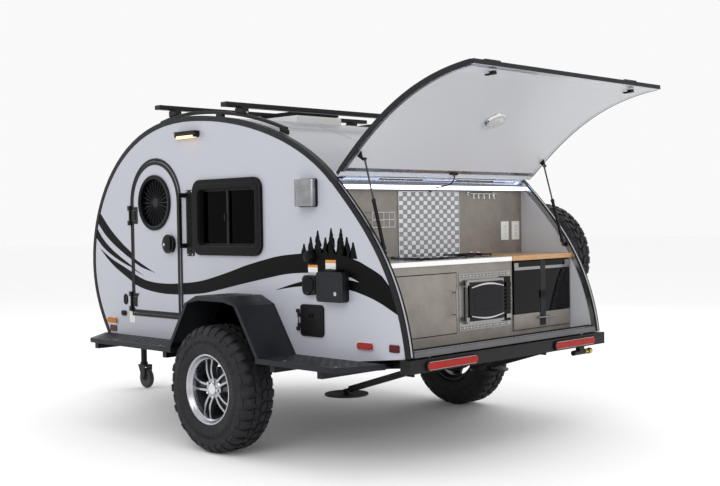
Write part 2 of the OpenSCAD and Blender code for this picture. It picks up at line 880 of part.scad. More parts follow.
module white_worktop() {
    color("#e6e6e4") difference() {
        block([cab_x - 12, micro_right - board_t / 2 + 0.5, cab_top], [back_x, wall_in, worktop_z]);
        unit_hole(sink_y, sink_w, cab_top - 1);
        unit_hole(hob_y, hob_w, cab_top - 1);
    }
}

module wood_worktop() {
    color("#c89a62")
        block([cab_x - 18, -wall_in, cab_top], [back_x, micro_right - board_t / 2, worktop_z + 3]);
}

// One steel unit with a sink bowl and a hob with two grates
module hob_and_sink() {
    rim_t = 3;
    wall = 2;
    sink_in = [sink_y - sink_w / 2 + 16, sink_y + sink_w / 2 - 16];
    hob_in = [hob_y - hob_w / 2 + 16, hob_y + hob_w / 2 - 16];
    color("#8f9196") {
        difference() {
            union() {
                for (at = [[sink_y, sink_w], [hob_y, hob_w]])
                    block(
                        [unit_x[0], at[0] - at[1] / 2, worktop_z],
                        [unit_x[1], at[0] + at[1] / 2, worktop_z + rim_t]
                    );
                block(
                    [unit_x[0] + 14, sink_in[0] - wall, worktop_z - bowl_deep],
                    [unit_x[1] - 14, sink_in[1] + wall, worktop_z]
                );
                block(
                    [unit_x[0] + 14, hob_in[0] - wall, cab_top + 1],
                    [unit_x[1] - 14, hob_in[1] + wall, worktop_z]
                );
            }
            block(
                [unit_x[0] + 16, sink_in[0], worktop_z - bowl_deep + wall],
                [unit_x[1] - 16, sink_in[1], worktop_z + 9]
            );
            block([unit_x[0] + 16, hob_in[0], worktop_z - 8], [unit_x[1] - 16, hob_in[1], worktop_z + 9]);
        }
        bar_z(unit_x[0] + 130, hob_y + 75, 34, worktop_z - 9, worktop_z + 8);
        bar_z(unit_x[0] + 130, hob_y - 65, 28, worktop_z - 9, worktop_z + 8);
        for (x = [0, 55])
            bar_z(unit_x[1] - 60 - x, hob_y - hob_w / 2 + 32, 15, worktop_z - 9, worktop_z + 22);
        for (y = [hob_y + 75, hob_y - 65]) {
            for (side = [-1, 1]) {
                block(
                    [unit_x[0] + 40, y + side * 44 - 4, worktop_z + 12],
                    [unit_x[0] + 220, y + side * 44 + 4, worktop_z + 20]
                );
                block(
                    [unit_x[0] + 130 + side * 86 - 4, y - 48, worktop_z + 12],
                    [unit_x[0] + 130 + side * 86 + 4, y + 48, worktop_z + 20]
                );
                for (end = [-1, 1])
                    bar_z(unit_x[0] + 130 + side * 84, y + end * 44, 4, worktop_z - 9, worktop_z + 13);
            }
        }
    }
    sink_hinge_fixed();
}

sink_pin = [unit_x[1] - 8, worktop_z + 13];

module sink_hinge_fixed() {
    color("#8f9196") for (y = [sink_y - 100, sink_y + 100]) {
        block([sink_pin[0] - 6, y - 14, worktop_z + 3], [sink_pin[0] + 6, y + 14, sink_pin[1]]);
        bar_y(sink_pin[0], sink_pin[1], 6, y - 14, y + 14);
        bar_y(sink_pin[0], sink_pin[1], 3, y - 32, y + 32);
    }
}

module sink_lid() {
    low = worktop_z + 10;
    color("#1b1e22", 0.7) difference() {
        union() {
            difference() {
                block(
                    [unit_x[0] + 4, sink_y - sink_w / 2 + 4, low],
                    [sink_pin[0] + 2, sink_y + sink_w / 2 - 4, low + 6]
                );
                for (y = [sink_y - 100, sink_y + 100])
                    block([sink_pin[0] - 14, y - 18, low - 1], [sink_pin[0] + 10, y + 18, low + 9]);
            }
            for (y = [-125, -75, 75, 125])
                bar_y(sink_pin[0], sink_pin[1], 6, sink_y + y - 7, sink_y + y + 7);
        }
        bar_y(sink_pin[0], sink_pin[1], 3 + run, sink_y - 140, sink_y + 140);
    }
}

oven_x = cab_x - 4;
oven = [micro_bay[0] + 6, micro_bay[1] - 6, micro_bay[2] + 6, micro_bay[3] - 6];
oven_door = [oven[0] + 66, oven[1] - 6, oven[2] + 6, oven[3] - 6];
oven_pin = [oven_x - 26, oven_door[1] + 2];

module microwave() {
    color("#a6a8ac") {
        difference() {
            block([oven_x, oven[0], oven[2]], [back_x - 12, oven[1], oven[3]]);
            block(
                [oven_x - 1, oven_door[0] + 16, oven_door[2] + 18],
                [back_x - 60, oven_door[1] - 22, oven_door[3] - 18]
            );
        }
        difference() {
            block([oven_x, micro_right, oven[2] - 34], [cab_x, micro_left, oven[3] + 34]);
            block([oven_x - 1, oven[0] + 1, oven[2] + 1], [cab_x + 1, oven[1] - 1, oven[3] - 1]);
        }
        block([oven_x - 22, oven[0], oven[2]], [oven_x, oven_door[0] - move, oven[3]]);
        for (z = [oven_door[2] + 24, oven_door[3] - 24]) {
            bar_z(oven_pin[0], oven_pin[1], 2.5, z - 16, z + 16);
            bar_z(oven_pin[0], oven_pin[1], 5, z - 16, z - 6);
            block([oven_pin[0], oven_pin[1] - 3, z - 16], [oven_x, oven_pin[1] + 3, z - 6]);
        }
    }
}

module microwave_door() {
    color("#9ea0a5") difference() {
        union() {
            block(
                [oven_x - move - 18, oven_door[0], oven_door[2]],
                [oven_x - move, oven_door[1] - 8, oven_door[3]]
            );
            for (z = [oven_door[2] + 24, oven_door[3] - 24]) {
                bar_z(oven_pin[0], oven_pin[1], 5, z - 5, z + 14);
                block([oven_pin[0] - 5, oven_pin[1] - 16, z - 5], [oven_pin[0] + 4, oven_pin[1], z + 14]);
            }
        }
        for (z = [oven_door[2] + 24, oven_door[3] - 24])
            bar_z(oven_pin[0], oven_pin[1], 2.5 + run, z - 20, z + 20);
    }
}

cupboard_pin = [cab_x - 7, cupboard_bay[1] - 3];

module cupboard_hinge_fixed() {
    for (z = [cupboard_bay[2] + 60, cupboard_bay[3] - 60]) {
        bar_z(cupboard_pin[0], cupboard_pin[1], 3, z - 20, z + 20);
        bar_z(cupboard_pin[0], cupboard_pin[1], 6, z - 20, z - 8);
        block([cupboard_pin[0], cupboard_pin[1], z - 20], [cab_x, cupboard_pin[1] + 18, z - 8]);
    }
}

module cupboard_door() {
    left = cupboard_bay[1] - move - 4;
    right = cupboard_bay[0] + move;
    color("#857e74") difference() {
        union() {
            block([cab_x, right, cupboard_bay[2] + move], [cab_x + board_t, left, cupboard_bay[3] - move]);
            for (z = [cupboard_bay[2] + 60, cupboard_bay[3] - 60]) {
                bar_z(cupboard_pin[0], cupboard_pin[1], 6, z - 7, z + 18);
                block([cupboard_pin[0] - 2, left - 40, z - 7], [cab_x, cupboard_pin[1], z + 18]);
            }
            bar_handle(right + 30, (cupboard_bay[2] + cupboard_bay[3]) / 2, 160);
        }
        for (z = [cupboard_bay[2] + 60, cupboard_bay[3] - 60])
            bar_z(cupboard_pin[0], cupboard_pin[1], 3 + run, z - 24, z + 24);
    }
}

module bar_handle(y, z, length) {
    bar_z(cab_x - 28, y, 5, z - length / 2, z + length / 2);
    for (end = [z - length / 2 + 18, z + length / 2 - 18])
        translate([cab_x - 28, y, end]) rotate([0, 90, 0]) cylinder(r = 4, h = 30);
}

// The fridge stands on a tray that slides out to the rear
tray_z = fridge_bay[2] + 5;
tray_front_h = 92;

module fridge_tray() {
    right = fridge_bay[0] + move;
    left = fridge_bay[1] - move;
    mid = (right + left) / 2;
    color("#857e74") {
        block([cab_x - 8, right, tray_z], [cab_x + 8, left, tray_z + tray_front_h]);
        block([cab_x + 8, right + 4, tray_z + 60], [back_x - 16, left - 4, tray_z + 74]);
        bar_y(cab_x - 36, tray_z + 62, 5, mid - 75, mid + 75);
        for (y = [mid - 55, mid + 55])
            translate([cab_x - 36, y, tray_z + 62]) rotate([0, 90, 0]) cylinder(r = 4, h = 30);
    }
}

module fridge() {
    low = tray_z + 76;
    color("#1b1c1f") {
        block(
            [cab_x + 2, fridge_bay[0] + move + 6, low + 22],
            [back_x - 20, fridge_bay[1] - move - 6, cab_top - 11]
        );
        block([cab_x - 12, fridge_bay[0] + move, low + 20], [cab_x + 2, fridge_bay[1] - move, cab_top - 6]);
        block([cab_x + 20, fridge_bay[0] + 40, low - 2], [back_x - 30, fridge_bay[1] - 40, low + 22]);
    }
}

module mattress() {
    z0 = floor_z + floor_t + seat;
    color("#8d8f94")
        block([back_x + bulkhead_t + 8, -wall_in + 8, z0], [nose_x - 264, wall_in - 120, z0 + 125]);
}

// ---- roof ----
rail_mid = half - 75;

module roof_rails() {
    color("#17181a") both_sides() {
        across(rail_mid - 14, rail_mid + 14) intersection() {
            skin_band(1, 2, 34, 14);
            translate([-300, 0]) square([1250, 4000]);
        }
        for (x = [930, 320, -280]) across(rail_mid - 14, rail_mid + 14) intersection() {
            skin_band(1, 2, 20, -trim_t);
            translate([x - 30, 0]) square([60, 4000]);
        }
    }
}

bar_x = [798, 110];
bar_rise = 82;
bar_size = [60, 28];

module roof_bars() {
    color("#17181a") for (x = bar_x) {
        z = roof_z(x) + bar_rise;
        block(
            [x - bar_size[0] / 2, -half - 63, z - bar_size[1] / 2],
            [x + bar_size[0] / 2, half + 63, z + bar_size[1] / 2]
        );
        both_sides() across(rail_mid - 20, rail_mid + 20) difference() {
            translate([x - 45, roof_z(x) + 10]) square([90, bar_rise - 10 - bar_size[1] / 2]);
            intersection() {
                polygon(concat(skin(1, 2, 34), [[-3000, 1000], [3000, 1000]]));
                translate([x - 100, 0]) square([200, 4000]);
            }
        }
    }
}

vent_x = 486;
vent_half = 200;
vent_base_h = 26;
vent_lid_h = 24;
vent_top = roof_z(vent_x) + vent_base_h;
vent_pin = [vent_x + vent_half - 6, vent_top + 9];

module roof_vent_base() {
    color("#d8d9d8") {
        across(-vent_half, vent_half) difference() {
            translate([vent_x - vent_half, roof_z(vent_x) - 60]) square([2 * vent_half, 60 + vent_base_h]);
            polygon(concat(skin(1, 2, -trim_t), [[-3000, 1000], [3000, 1000]]));
        }
        for (y = [-130, 130]) {
            bar_y(vent_pin[0], vent_pin[1], 6, y - 12, y + 12);
            bar_y(vent_pin[0], vent_pin[1], 3, y - 30, y + 30);
            block([vent_pin[0] - 6, y - 12, vent_top], [vent_pin[0] + 6, y + 12, vent_pin[1]]);
        }
    }
}

module roof_vent_lid() {
    front = vent_pin[0] - 12;
    color("#1b1c1f") difference() {
        union() {
            block(
                [vent_x - vent_half + 12, -vent_half + 12, vent_top + move],
                [front, vent_half - 12, vent_top + move + vent_lid_h]
            );
            for (side = [-1, 1]) for (end = [-1, 1]) {
                y = side * 130 + end * 22;
                bar_y(vent_pin[0], vent_pin[1], 6, y - 8, y + 8);
                block([front - 1, y - 8, vent_pin[1] - 3], [vent_pin[0], y + 8, vent_pin[1] + 5]);
            }
        }
        bar_y(vent_pin[0], vent_pin[1], 3 + run, -vent_half, vent_half);
    }
}

// ---- spare wheel on its bracket on the right wall ----
spare_xz = [-700, floor_z + 487];
spare_y = half + 185;

module spare_wheel() {
    x = spare_xz[0];
    z = spare_xz[1];
    w = tyre_w / 2;
    color("#2a2b2e") {
        translate([x, -spare_y, z]) rotate([90, 0, 0]) rotate_extrude($fn = 96) polygon([
            [rim_r - 12, -70], [rim_r + 12, -w + 14], [rim_r + 60, -w + 2], [tyre_r - 75, -w],
            [tyre_r - 38, -w + 6], [tyre_r - 12, -w + 22], [tyre_r, -w + 42], [tyre_r, w - 42],
            [tyre_r - 12, w - 22], [tyre_r - 38, w - 6], [tyre_r - 75, w], [rim_r + 60, w - 2],
            [rim_r + 12, w - 14], [rim_r - 12, 70]
        ]);
        bar_y(x, z, rim_r - 10, -spare_y - 50, -spare_y - 20);
        bar_y(x, z, 60, -spare_y - 20, -wall_out - 8);
        translate([0, -wall_out, 0]) across(-8, 0) translate([x, z]) rounded(260, 260, 20);
    }
}

// ---- jack ----
jack_x = nose_x + 711;
jack_trail = 35;
jack_plate_t = 12;
leg_low = 2 * jack_wheel_r + 28;
jack_travel = 225;
jack_mouth = leg_low + 18 + jack_travel + move;

module jack_tube() {
    outer = jack_leg_r + 6;
    color("#26272b") {
        difference() {
            union() {
                bar_z(jack_x, 0, outer, jack_mouth, rail_top + 330);
                block([jack_x - 60, -130, rail_top], [jack_x + 60, 130, rail_top + jack_plate_t]);
            }
            bar_z(jack_x, 0, jack_leg_r + seat, jack_mouth - 1, rail_top + 318);
        }
        bar_z(jack_x, 0, outer + 6, rail_top + 330, rail_top + 352);
        translate([jack_x, 0, rail_top + 341]) rotate([0, 90, 0]) cylinder(r = 7, h = 120);
        bar_z(jack_x + 120, 0, 7, rail_top + 341, rail_top + 400);
        bar_z(jack_x + 120, 0, 13, rail_top + 400, rail_top + 480);
    }
}

module jack_leg() {
    color("#8e9094") {
        bar_z(jack_x, 0, jack_leg_r, leg_low, rail_top + 40);
        bar_z(jack_x, 0, jack_leg_r + 6, leg_low, leg_low + 18);
        bar_z(jack_x, 0, 10, leg_low - 24, leg_low);
        bar_z(jack_x, 0, 15, leg_low - 24, leg_low - 20);
    }
}

module jack_fork() {
    top = leg_low - seat;
    axle_x = jack_x - jack_trail;
    color("#26272b") difference() {
        union() {
            block([jack_x - 60, -36, top - 12], [jack_x + 36, 36, top]);
            both_sides() across(31, 36) polygon([
                [jack_x + 30, top - 12], [jack_x - 60, top - 12], [axle_x - 18, jack_wheel_r - 12],
                [axle_x + 18, jack_wheel_r - 12]
            ]);
            bar_y(axle_x, jack_wheel_r, 6, -40, 40);
        }
        bar_z(jack_x, 0, 10 + seat, top - 13, top + 1);
    }
}

module jack_wheel() {
    axle_x = jack_x - jack_trail;
    color("#202124") translate([axle_x, 0, jack_wheel_r]) rotate([90, 0, 0]) rotate_extrude() polygon([
        [6 + run, -26], [22, -26], [24, -20], [jack_wheel_r - 10, -20], [jack_wheel_r - 4, -17],
        [jack_wheel_r, -8], [jack_wheel_r, 8], [jack_wheel_r - 4, 17], [jack_wheel_r - 10, 20], [24, 20],
        [22, 26], [6 + run, 26]
    ]);
}

// ---- rear stabilisers: the leg folds forward, and its pad stays level ----
stab_y = rail_y + 75;
stab_top = [-1060, rail_bottom + 5];
pad_t = 10;
pad_pin_h = 26;
pad_rest = [-640, 362];
stab_reach = stab_top[1] - pad_pin_h;
stab_fold = asin((stab_top[1] - pad_rest[1]) / stab_reach);
stab_foot = stab_top + stab_reach * [cos(stab_fold), -sin(stab_fold)];

module stabiliser_bracket() {
    both_sides() {
        bar_y(stab_top[0], stab_top[1], 7, rail_y + rail_w / 2, stab_y + 28);
        block(
            [stab_top[0] - 30, rail_y + rail_w / 2, stab_top[1] - 25],
            [stab_top[0] + 30, rail_y + rail_w / 2 + 10, stab_top[1] + 60]
        );
    }
}

module stabiliser_leg() {
    color("#1d1e21") translate([stab_top[0], stab_y, stab_top[1]]) rotate([0, stab_fold, 0]) difference() {
        union() {
            rotate([90, 0, 0]) cylinder(r = 17, h = 40, center = true);
            block([0, -20, -17], [stab_reach - 40, 20, 17]);
            block([stab_reach - 45, -20, -8], [stab_reach, -13, 8]);
            block([stab_reach - 45, 13, -8], [stab_reach, 20, 8]);
            for (y = [-20, 13]) bar_y(stab_reach, 0, 10, y, y + 7);
            translate([stab_reach, 0, 0]) rotate([90, 0, 0]) cylinder(r = 5, h = 34, center = true);
        }
        rotate([90, 0, 0]) cylinder(r = 7 + run, h = 60, center = true);
    }
}

module stabiliser_pad() {
    color("#1d1e21") translate([stab_foot[0], stab_y, stab_foot[1]]) difference() {
        union() {
            translate([0, 0, -pad_pin_h]) cylinder(r = pad_r, h = pad_t);
            block([-10, -9, pad_t - pad_pin_h], [10, 9, 0]);
            rotate([90, 0, 0]) cylinder(r = 10, h = 18, center = true);
        }
        rotate([90, 0, 0]) cylinder(r = 5 + run, h = 60, center = true);
    }
}

module service_door() {
    front = service_pin[0];
    color("#1a1b1e") difference() {
        union() {
            across(wall_out + 4.5, wall_out + 10) difference() {
                service_shape(2);
                translate([service_x + service_w / 2 - 6, 0]) square([20, 3000]);
            }
            for (z = [service_z - 28, service_z + 28]) {
                bar_z(front, service_pin[1], 6, z - 11, z + 11);
                block([front - 26, wall_out + 7, z - 11], [front, wall_out + 12, z + 11]);
            }
        }
        bar_z(front, service_pin[1], 3 + run, service_z - 80, service_z + 80);
    }
}

module power_box_lid() {
    low = wall_out + box_back + 1;
    color("#1a1b1e") difference() {
        union() {
            across(low, low + box_lid) translate([box_x, box_z]) rounded(box_w, box_h, 18);
            translate([box_x - 25, box_pin[0], box_pin[1]]) rotate([0, 90, 0]) cylinder(r = 6, h = 50);
            block([box_x - 25, low, box_pin[1] - 14], [box_x + 25, low + 16, box_pin[1]]);
        }
        translate([box_x - 60, box_pin[0], box_pin[1]]) rotate([0, 90, 0]) cylinder(r = 3 + run, h = 120);
    }
}

// Moves the trailer from its wheel axis to its own origin
module placed() {
    translate([-origin_x, 0, 0]) children();
}

placed() chassis_rails();
placed() {
    chassis_crossmembers();
    color("#1b1c1f") stabiliser_bracket();
}
placed() coupler();
placed() tongue_deck();
placed() gas_bottle();
placed() axle();
placed() rear_bumper();
placed() lamps();
placed() fenders();
placed() side_steps();
placed() floor_panel();
placed() side_wall_left();
placed() side_wall_right();
placed() roof_panel();
placed() edge_trims();
placed() galley_bulkhead();
placed() {
    galley_cabinet();
    color("#8f9196") cupboard_hinge_fixed();
}
placed() white_worktop();
placed() wood_worktop();
placed() hob_and_sink();
placed() microwave();
placed() opening_frames();
placed() window_panes();
placed() wall_fittings();
placed() roof_rails();
placed() roof_bars();
placed() roof_vent_base();
placed() spare_wheel();
placed() mattress();
placed() jack_tube();
placed() tyre();  // tyre_left
placed() rim();  // rim_left
placed() mirror([0, 1, 0]) tyre();  // tyre_right
placed() mirror([0, 1, 0]) rim();  // rim_right
placed() hatch_panel();
placed() hatch_fittings();
placed() strut_cylinder();  // strut_cylinder_left
placed() strut_rod();  // strut_rod_left
placed() mirror([0, 1, 0]) strut_cylinder();  // strut_cylinder_right
placed() mirror([0, 1, 0]) strut_rod();  // strut_rod_right
placed() door_leaf();  // door_left
placed() door_glass();  // door_glass_left
placed() mirror([0, 1, 0]) door_leaf();  // door_right
placed() mirror([0, 1, 0]) door_glass();  // door_glass_right
placed() cupboard_door();
placed() microwave_door();
placed() fridge_tray();
placed() fridge();
placed() sink_lid();
placed() roof_vent_lid();
placed() service_door();
placed() power_box_lid();
placed() jack_leg();
placed() jack_fork();
placed() jack_wheel();
placed() stabiliser_leg();  // stabiliser_leg_left
placed() stabiliser_pad();  // stabiliser_pad_left
placed() mirror([0, 1, 0]) stabiliser_leg();  // stabiliser_leg_right
placed() mirror([0, 1, 0]) stabiliser_pad();  // stabiliser_pad_right
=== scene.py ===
"""Looks of the teardrop trailer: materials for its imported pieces, softened edges, and the detail
that the frame leaves out. Metres throughout, +X to the coupler, +Y to the trailer's left, +Z up."""

import json
import math
import random

import bmesh
import bpy
from mathutils import Matrix, Vector

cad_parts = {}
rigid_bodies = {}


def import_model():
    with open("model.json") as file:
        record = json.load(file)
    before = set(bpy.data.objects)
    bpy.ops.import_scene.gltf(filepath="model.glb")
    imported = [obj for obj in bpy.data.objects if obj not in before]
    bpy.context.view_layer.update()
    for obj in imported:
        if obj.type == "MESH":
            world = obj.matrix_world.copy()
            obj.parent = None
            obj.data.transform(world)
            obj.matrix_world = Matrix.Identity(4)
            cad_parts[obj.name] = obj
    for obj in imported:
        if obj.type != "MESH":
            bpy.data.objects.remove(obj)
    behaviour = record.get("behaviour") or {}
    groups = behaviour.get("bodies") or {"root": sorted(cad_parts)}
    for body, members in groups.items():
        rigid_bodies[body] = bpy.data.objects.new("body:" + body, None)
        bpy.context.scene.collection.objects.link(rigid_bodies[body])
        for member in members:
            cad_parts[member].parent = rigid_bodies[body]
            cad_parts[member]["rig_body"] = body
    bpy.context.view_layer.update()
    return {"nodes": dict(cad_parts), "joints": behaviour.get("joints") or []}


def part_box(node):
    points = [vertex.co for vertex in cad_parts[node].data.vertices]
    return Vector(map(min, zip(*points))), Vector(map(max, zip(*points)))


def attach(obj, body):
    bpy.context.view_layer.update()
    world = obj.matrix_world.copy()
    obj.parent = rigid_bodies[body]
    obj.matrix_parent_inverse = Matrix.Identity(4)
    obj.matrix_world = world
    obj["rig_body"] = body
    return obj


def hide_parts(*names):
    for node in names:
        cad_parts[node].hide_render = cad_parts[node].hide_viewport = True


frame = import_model()

# ---- places that many pieces share, read from the frame ----
tyre_low, tyre_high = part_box("tyre_left")
AXLE_X = (tyre_low.x + tyre_high.x) / 2
WHEEL_Y = (tyre_low.y + tyre_high.y) / 2
TYRE_R = (tyre_high.z - tyre_low.z) / 2
TYRE_W = tyre_high.y - tyre_low.y
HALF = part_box("edge_trims")[1].y
WALL_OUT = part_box("side_wall_left")[1].y
WALL_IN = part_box("floor_panel")[1].y
DOOR_OUT = WALL_OUT + 0.006
UNDER_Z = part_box("floor_panel")[0].z
BATTERY_X = AXLE_X + 1.909


def at(x, y, z):
    """A point given from the wheel axis instead of from the trailer's origin."""
    return Vector((AXLE_X + x, y, z))


# ---- side outline of the body, as (x from the wheel axis, z) ----
def curve(a, angle_a, reach_a, b, angle_b, reach_b):
    def way(angle):
        return Vector((math.cos(math.radians(angle)), math.sin(math.radians(angle))))

    a, b = Vector(a), Vector(b)
    return [a, a + reach_a * way(angle_a), b - reach_b * way(angle_b), b]


NOSE, CROWN, HINGE = (1.719, UNDER_Z + 0.505), (0.618, UNDER_Z + 1.435), (-0.765, UNDER_Z + 0.995)
OUTLINE = [
    curve((1.535, UNDER_Z), 55, 0.198, NOSE, 90, 0.198),
    curve(NOSE, 90, 0.420, CROWN, 180, 0.749),
    curve(CROWN, 180, 0.464, HINGE, 224.5, 0.436),
    curve(HINGE, 224.5, 0.336, (-1.306, UNDER_Z + 0.052), 262.9, 0.453),
]


def skin_point(i, t, out):
    """A point of curve i of the outline, moved outward by out, and the outward direction there."""
    a, b, c, d = OUTLINE[i]
    point = (1 - t) ** 3 * a + 3 * (1 - t) ** 2 * t * b + 3 * (1 - t) * t * t * c + t**3 * d
    run = (1 - t) ** 2 * (b - a) + 2 * (1 - t) * t * (c - b) + t * t * (d - c)
    run.normalize()
    normal = Vector((run.y, -run.x))
    return point + out * normal, normal


def skin_band(i, places, out=0):
    """Points of curve i, moved outward by out, and the outward direction at each of them."""
    found = [skin_point(i, t, out) for t in places]
    return [point for point, normal in found], [normal for point, normal in found]


def edge_x(z, front):
    """Where the edge trim's inner line lies at height z, at the front or at the rear."""
    points = []
    for i in (0, 1) if front else (3,):
        points += skin_band(i, [k / 40 for k in range(1 if i == 1 else 0, 41)], -0.0308)[0]
    best = min(range(len(points) - 1), key=lambda k: abs((points[k].y + points[k + 1].y) / 2 - z))
    a, b = points[best], points[best + 1]
    return a.x + (b.x - a.x) * (z - a.y) / (b.y - a.y)


def smooth_line(points, steps=6):
    """Points on a smooth curve through the given ones."""
    points = [Vector(p) for p in points]
    found = [points[0]]
    for k in range(len(points) - 1):
        a = points[max(k - 1, 0)]
        b, c = points[k], points[k + 1]
        d = points[min(k + 2, len(points) - 1)]
        for s in range(1, steps + 1):
            t = s / steps
            found.append(
                0.5
                * (2 * b + (c - a) * t + (2 * a - 5 * b + 4 * c - d) * t * t + (3 * b - a - 3 * c + d) * t**3)
            )
    return found


# ---- camera, floor and light ----
CAMERA_PLACE = (-5.0488, 4.9236, 1.3373)
CAMERA_LENS, CAMERA_SENSOR = 54.24, 36
YAW, PITCH, ROLL = -44.735, 1.277, -0.922
WORLD_STRENGTH = 0.95
LIGHTS = (
    # name, place, target, size, watts
    ("key", (-4.5, 6.5, 5.5), (0, 0.3, 1.0), (5, 4), 150),
    ("rear", (-8.5, -0.5, 3.2), (-1.2, 0, 1.1), (4, 3), 95),
    ("front", (6.5, 4.5, 4.5), (0.6, 0.3, 1.0), (4, 3), 60),
    ("right", (1.5, -7.5, 4.5), (0, 0, 1.0), (6, 3), 70),
    ("top", (0, 0, 7.5), (0, 0, 1), (6, 5), 60),
)


def make_camera():
    """The photo's view, placed from the wheel axis; pitch is downward."""
    yaw, pitch, roll = (math.radians(v) for v in (YAW, PITCH, ROLL))
    forward = Vector((math.cos(yaw) * math.cos(pitch), math.sin(yaw) * math.cos(pitch),
                      -math.sin(pitch)))
    right = Vector((math.sin(yaw), -math.cos(yaw), 0))
    up = right.cross(forward)
    tilted_right = math.cos(roll) * right + math.sin(roll) * up
    tilted_up = -math.sin(roll) * right + math.cos(roll) * up
    data = bpy.data.cameras.new("camera")
    data.sensor_width = CAMERA_SENSOR
    data.lens = CAMERA_LENS
    camera = bpy.data.objects.new("camera", data)
    bpy.context.scene.collection.objects.link(camera)
    turn = Matrix((tilted_right, tilted_up, -forward)).transposed().to_4x4()
    camera.matrix_world = Matrix.Translation(at(*CAMERA_PLACE)) @ turn
    bpy.context.scene.camera = camera


def area_light(name, place, target, size, power):
    data = bpy.data.lights.new(name, "AREA")
    data.shape = "RECTANGLE"
    data.size, data.size_y = size
    data.energy = power
    light = bpy.data.objects.new(name, data)
    bpy.context.scene.collection.objects.link(light)
    light.location = place
    light.rotation_euler = (Vector(target) - Vector(place)).to_track_quat("-Z", "Y").to_euler()


def make_studio():
    scene = bpy.context.scene
    scene.view_settings.view_transform = "Standard"
    world = bpy.data.worlds.new("studio")
    scene.world = world
    world.use_nodes = True
    world.node_tree.nodes["Background"].inputs[0].default_value = (1.0, 1.0, 1.0, 1)
    world.node_tree.nodes["Background"].inputs[1].default_value = WORLD_STRENGTH
    for light in LIGHTS:
        area_light(*light)
    bm = bmesh.new()
    bmesh.ops.create_circle(bm, cap_ends=True, segments=96, radius=60)
    floor = link("studio_floor", bm, [floor_white])
    floor.location.z = -0.001


# ---- procedural materials ----
def node_material(name):
    mat = bpy.data.materials.new(name)
    mat.use_nodes = True
    tree = mat.node_tree
    shader = tree.nodes["Principled BSDF"]
    coords = tree.nodes.new("ShaderNodeTexCoord").outputs["Object"]
    return mat, tree, shader, coords


def stretched(tree, coords, scale):
    mapping = tree.nodes.new("ShaderNodeMapping")
    mapping.inputs["Scale"].default_value = scale
    tree.links.new(coords, mapping.inputs["Vector"])
    return mapping.outputs["Vector"]


def noise(tree, vector, scale, detail=4.0, rough=0.55):
    texture = tree.nodes.new("ShaderNodeTexNoise")
    texture.inputs["Scale"].default_value = scale
    texture.inputs["Detail"].default_value = detail
    texture.inputs["Roughness"].default_value = rough
    tree.links.new(vector, texture.inputs["Vector"])
    return texture.outputs["Fac"]


def mapped(tree, value, low, high, start=0.3, end=0.7):
    node = tree.nodes.new("ShaderNodeMapRange")
    node.inputs["From Min"].default_value = start
    node.inputs["From Max"].default_value = end
    node.inputs["To Min"].default_value = low
    node.inputs["To Max"].default_value = high
    tree.links.new(value, node.inputs["Value"])
    return node.outputs["Result"]


def blended(tree, value, first, second):
    node = tree.nodes.new("ShaderNodeMix")
    node.data_type = "RGBA"
    for socket, colour in ((node.inputs["A"], first), (node.inputs["B"], second)):
        if hasattr(colour, "links"):
            tree.links.new(colour, socket)
        else:
            socket.default_value = (*colour, 1)
    tree.links.new(value, node.inputs["Factor"])
    return node.outputs["Result"]


def bumped(tree, shader, height, depth, strength=1.0):
    bump = tree.nodes.new("ShaderNodeBump")
    bump.inputs["Distance"].default_value = depth
    bump.inputs["Strength"].default_value = strength
    tree.links.new(height, bump.inputs["Height"])
    tree.links.new(bump.outputs["Normal"], shader.inputs["Normal"])


def finish(name, colour, rough=0.45, metal=0.0, vary=0.06, cloud=2.5, grain=900.0, depth=0.00006,
           stretch=(1, 1, 1), coat=0.0, rough_vary=0.15, **sockets):
    """A painted, moulded, rubber or metal finish: cloudy colour, uneven gloss and a fine grain."""
    mat, tree, shader, coords = node_material(name)
    darker = tuple(c * (1 - vary) for c in colour)
    lighter = tuple(min(1.0, c * (1 + vary)) for c in colour)
    patches = noise(tree, coords, cloud)
    tree.links.new(
        blended(tree, mapped(tree, patches, 0, 1), darker, lighter), shader.inputs["Base Color"]
    )
    smudge = noise(tree, coords, cloud * 5, 5.0)
    low, high = rough * (1 - rough_vary), min(1.0, rough * (1 + rough_vary))
    tree.links.new(mapped(tree, smudge, low, high), shader.inputs["Roughness"])
    fine = noise(tree, stretched(tree, coords, stretch), grain, 3.0)
    bumped(tree, shader, fine, depth)
    shader.inputs["Metallic"].default_value = metal
    shader.inputs["Coat Weight"].default_value = coat
    shader.inputs["Coat Roughness"].default_value = 0.06
    for socket, value in sockets.items():
        shader.inputs[socket.replace("_", " ")].default_value = value
    return mat


def clear(name, colour):
    """Tinted glass with a slight haze."""
    mat, tree, shader, coords = node_material(name)
    haze = noise(tree, coords, 5.0)
    tree.links.new(mapped(tree, haze, 0.018, 0.048), shader.inputs["Roughness"])
    tree.links.new(
        blended(tree, mapped(tree, haze, 0, 1), tuple(c * 0.9 for c in colour), colour),
        shader.inputs["Base Color"],
    )
    shader.inputs["Transmission Weight"].default_value = 1.0
    shader.inputs["IOR"].default_value = 1.1
    return mat


def lens(name, colour, ribs=260.0, glow=0.0):
    """A moulded lamp lens with a grid of prisms behind its smooth face."""
    mat, tree, shader, coords = node_material(name)
    cells = tree.nodes.new("ShaderNodeTexVoronoi")
    cells.inputs["Scale"].default_value = ribs
    tree.links.new(coords, cells.inputs["Vector"])
    shade = mapped(tree, cells.outputs["Distance"], 0, 1, 0.0, 0.6)
    tree.links.new(
        blended(tree, shade, colour, tuple(c * 0.45 for c in colour)), shader.inputs["Base Color"]
    )
    bumped(tree, shader, cells.outputs["Distance"], 0.0004, 0.5)
    shader.inputs["Roughness"].default_value = 0.16
    shader.inputs["Specular IOR Level"].default_value = 0.25
    if glow:
        shader.inputs["Emission Color"].default_value = (*colour, 1)
        shader.inputs["Emission Strength"].default_value = glow
    return mat


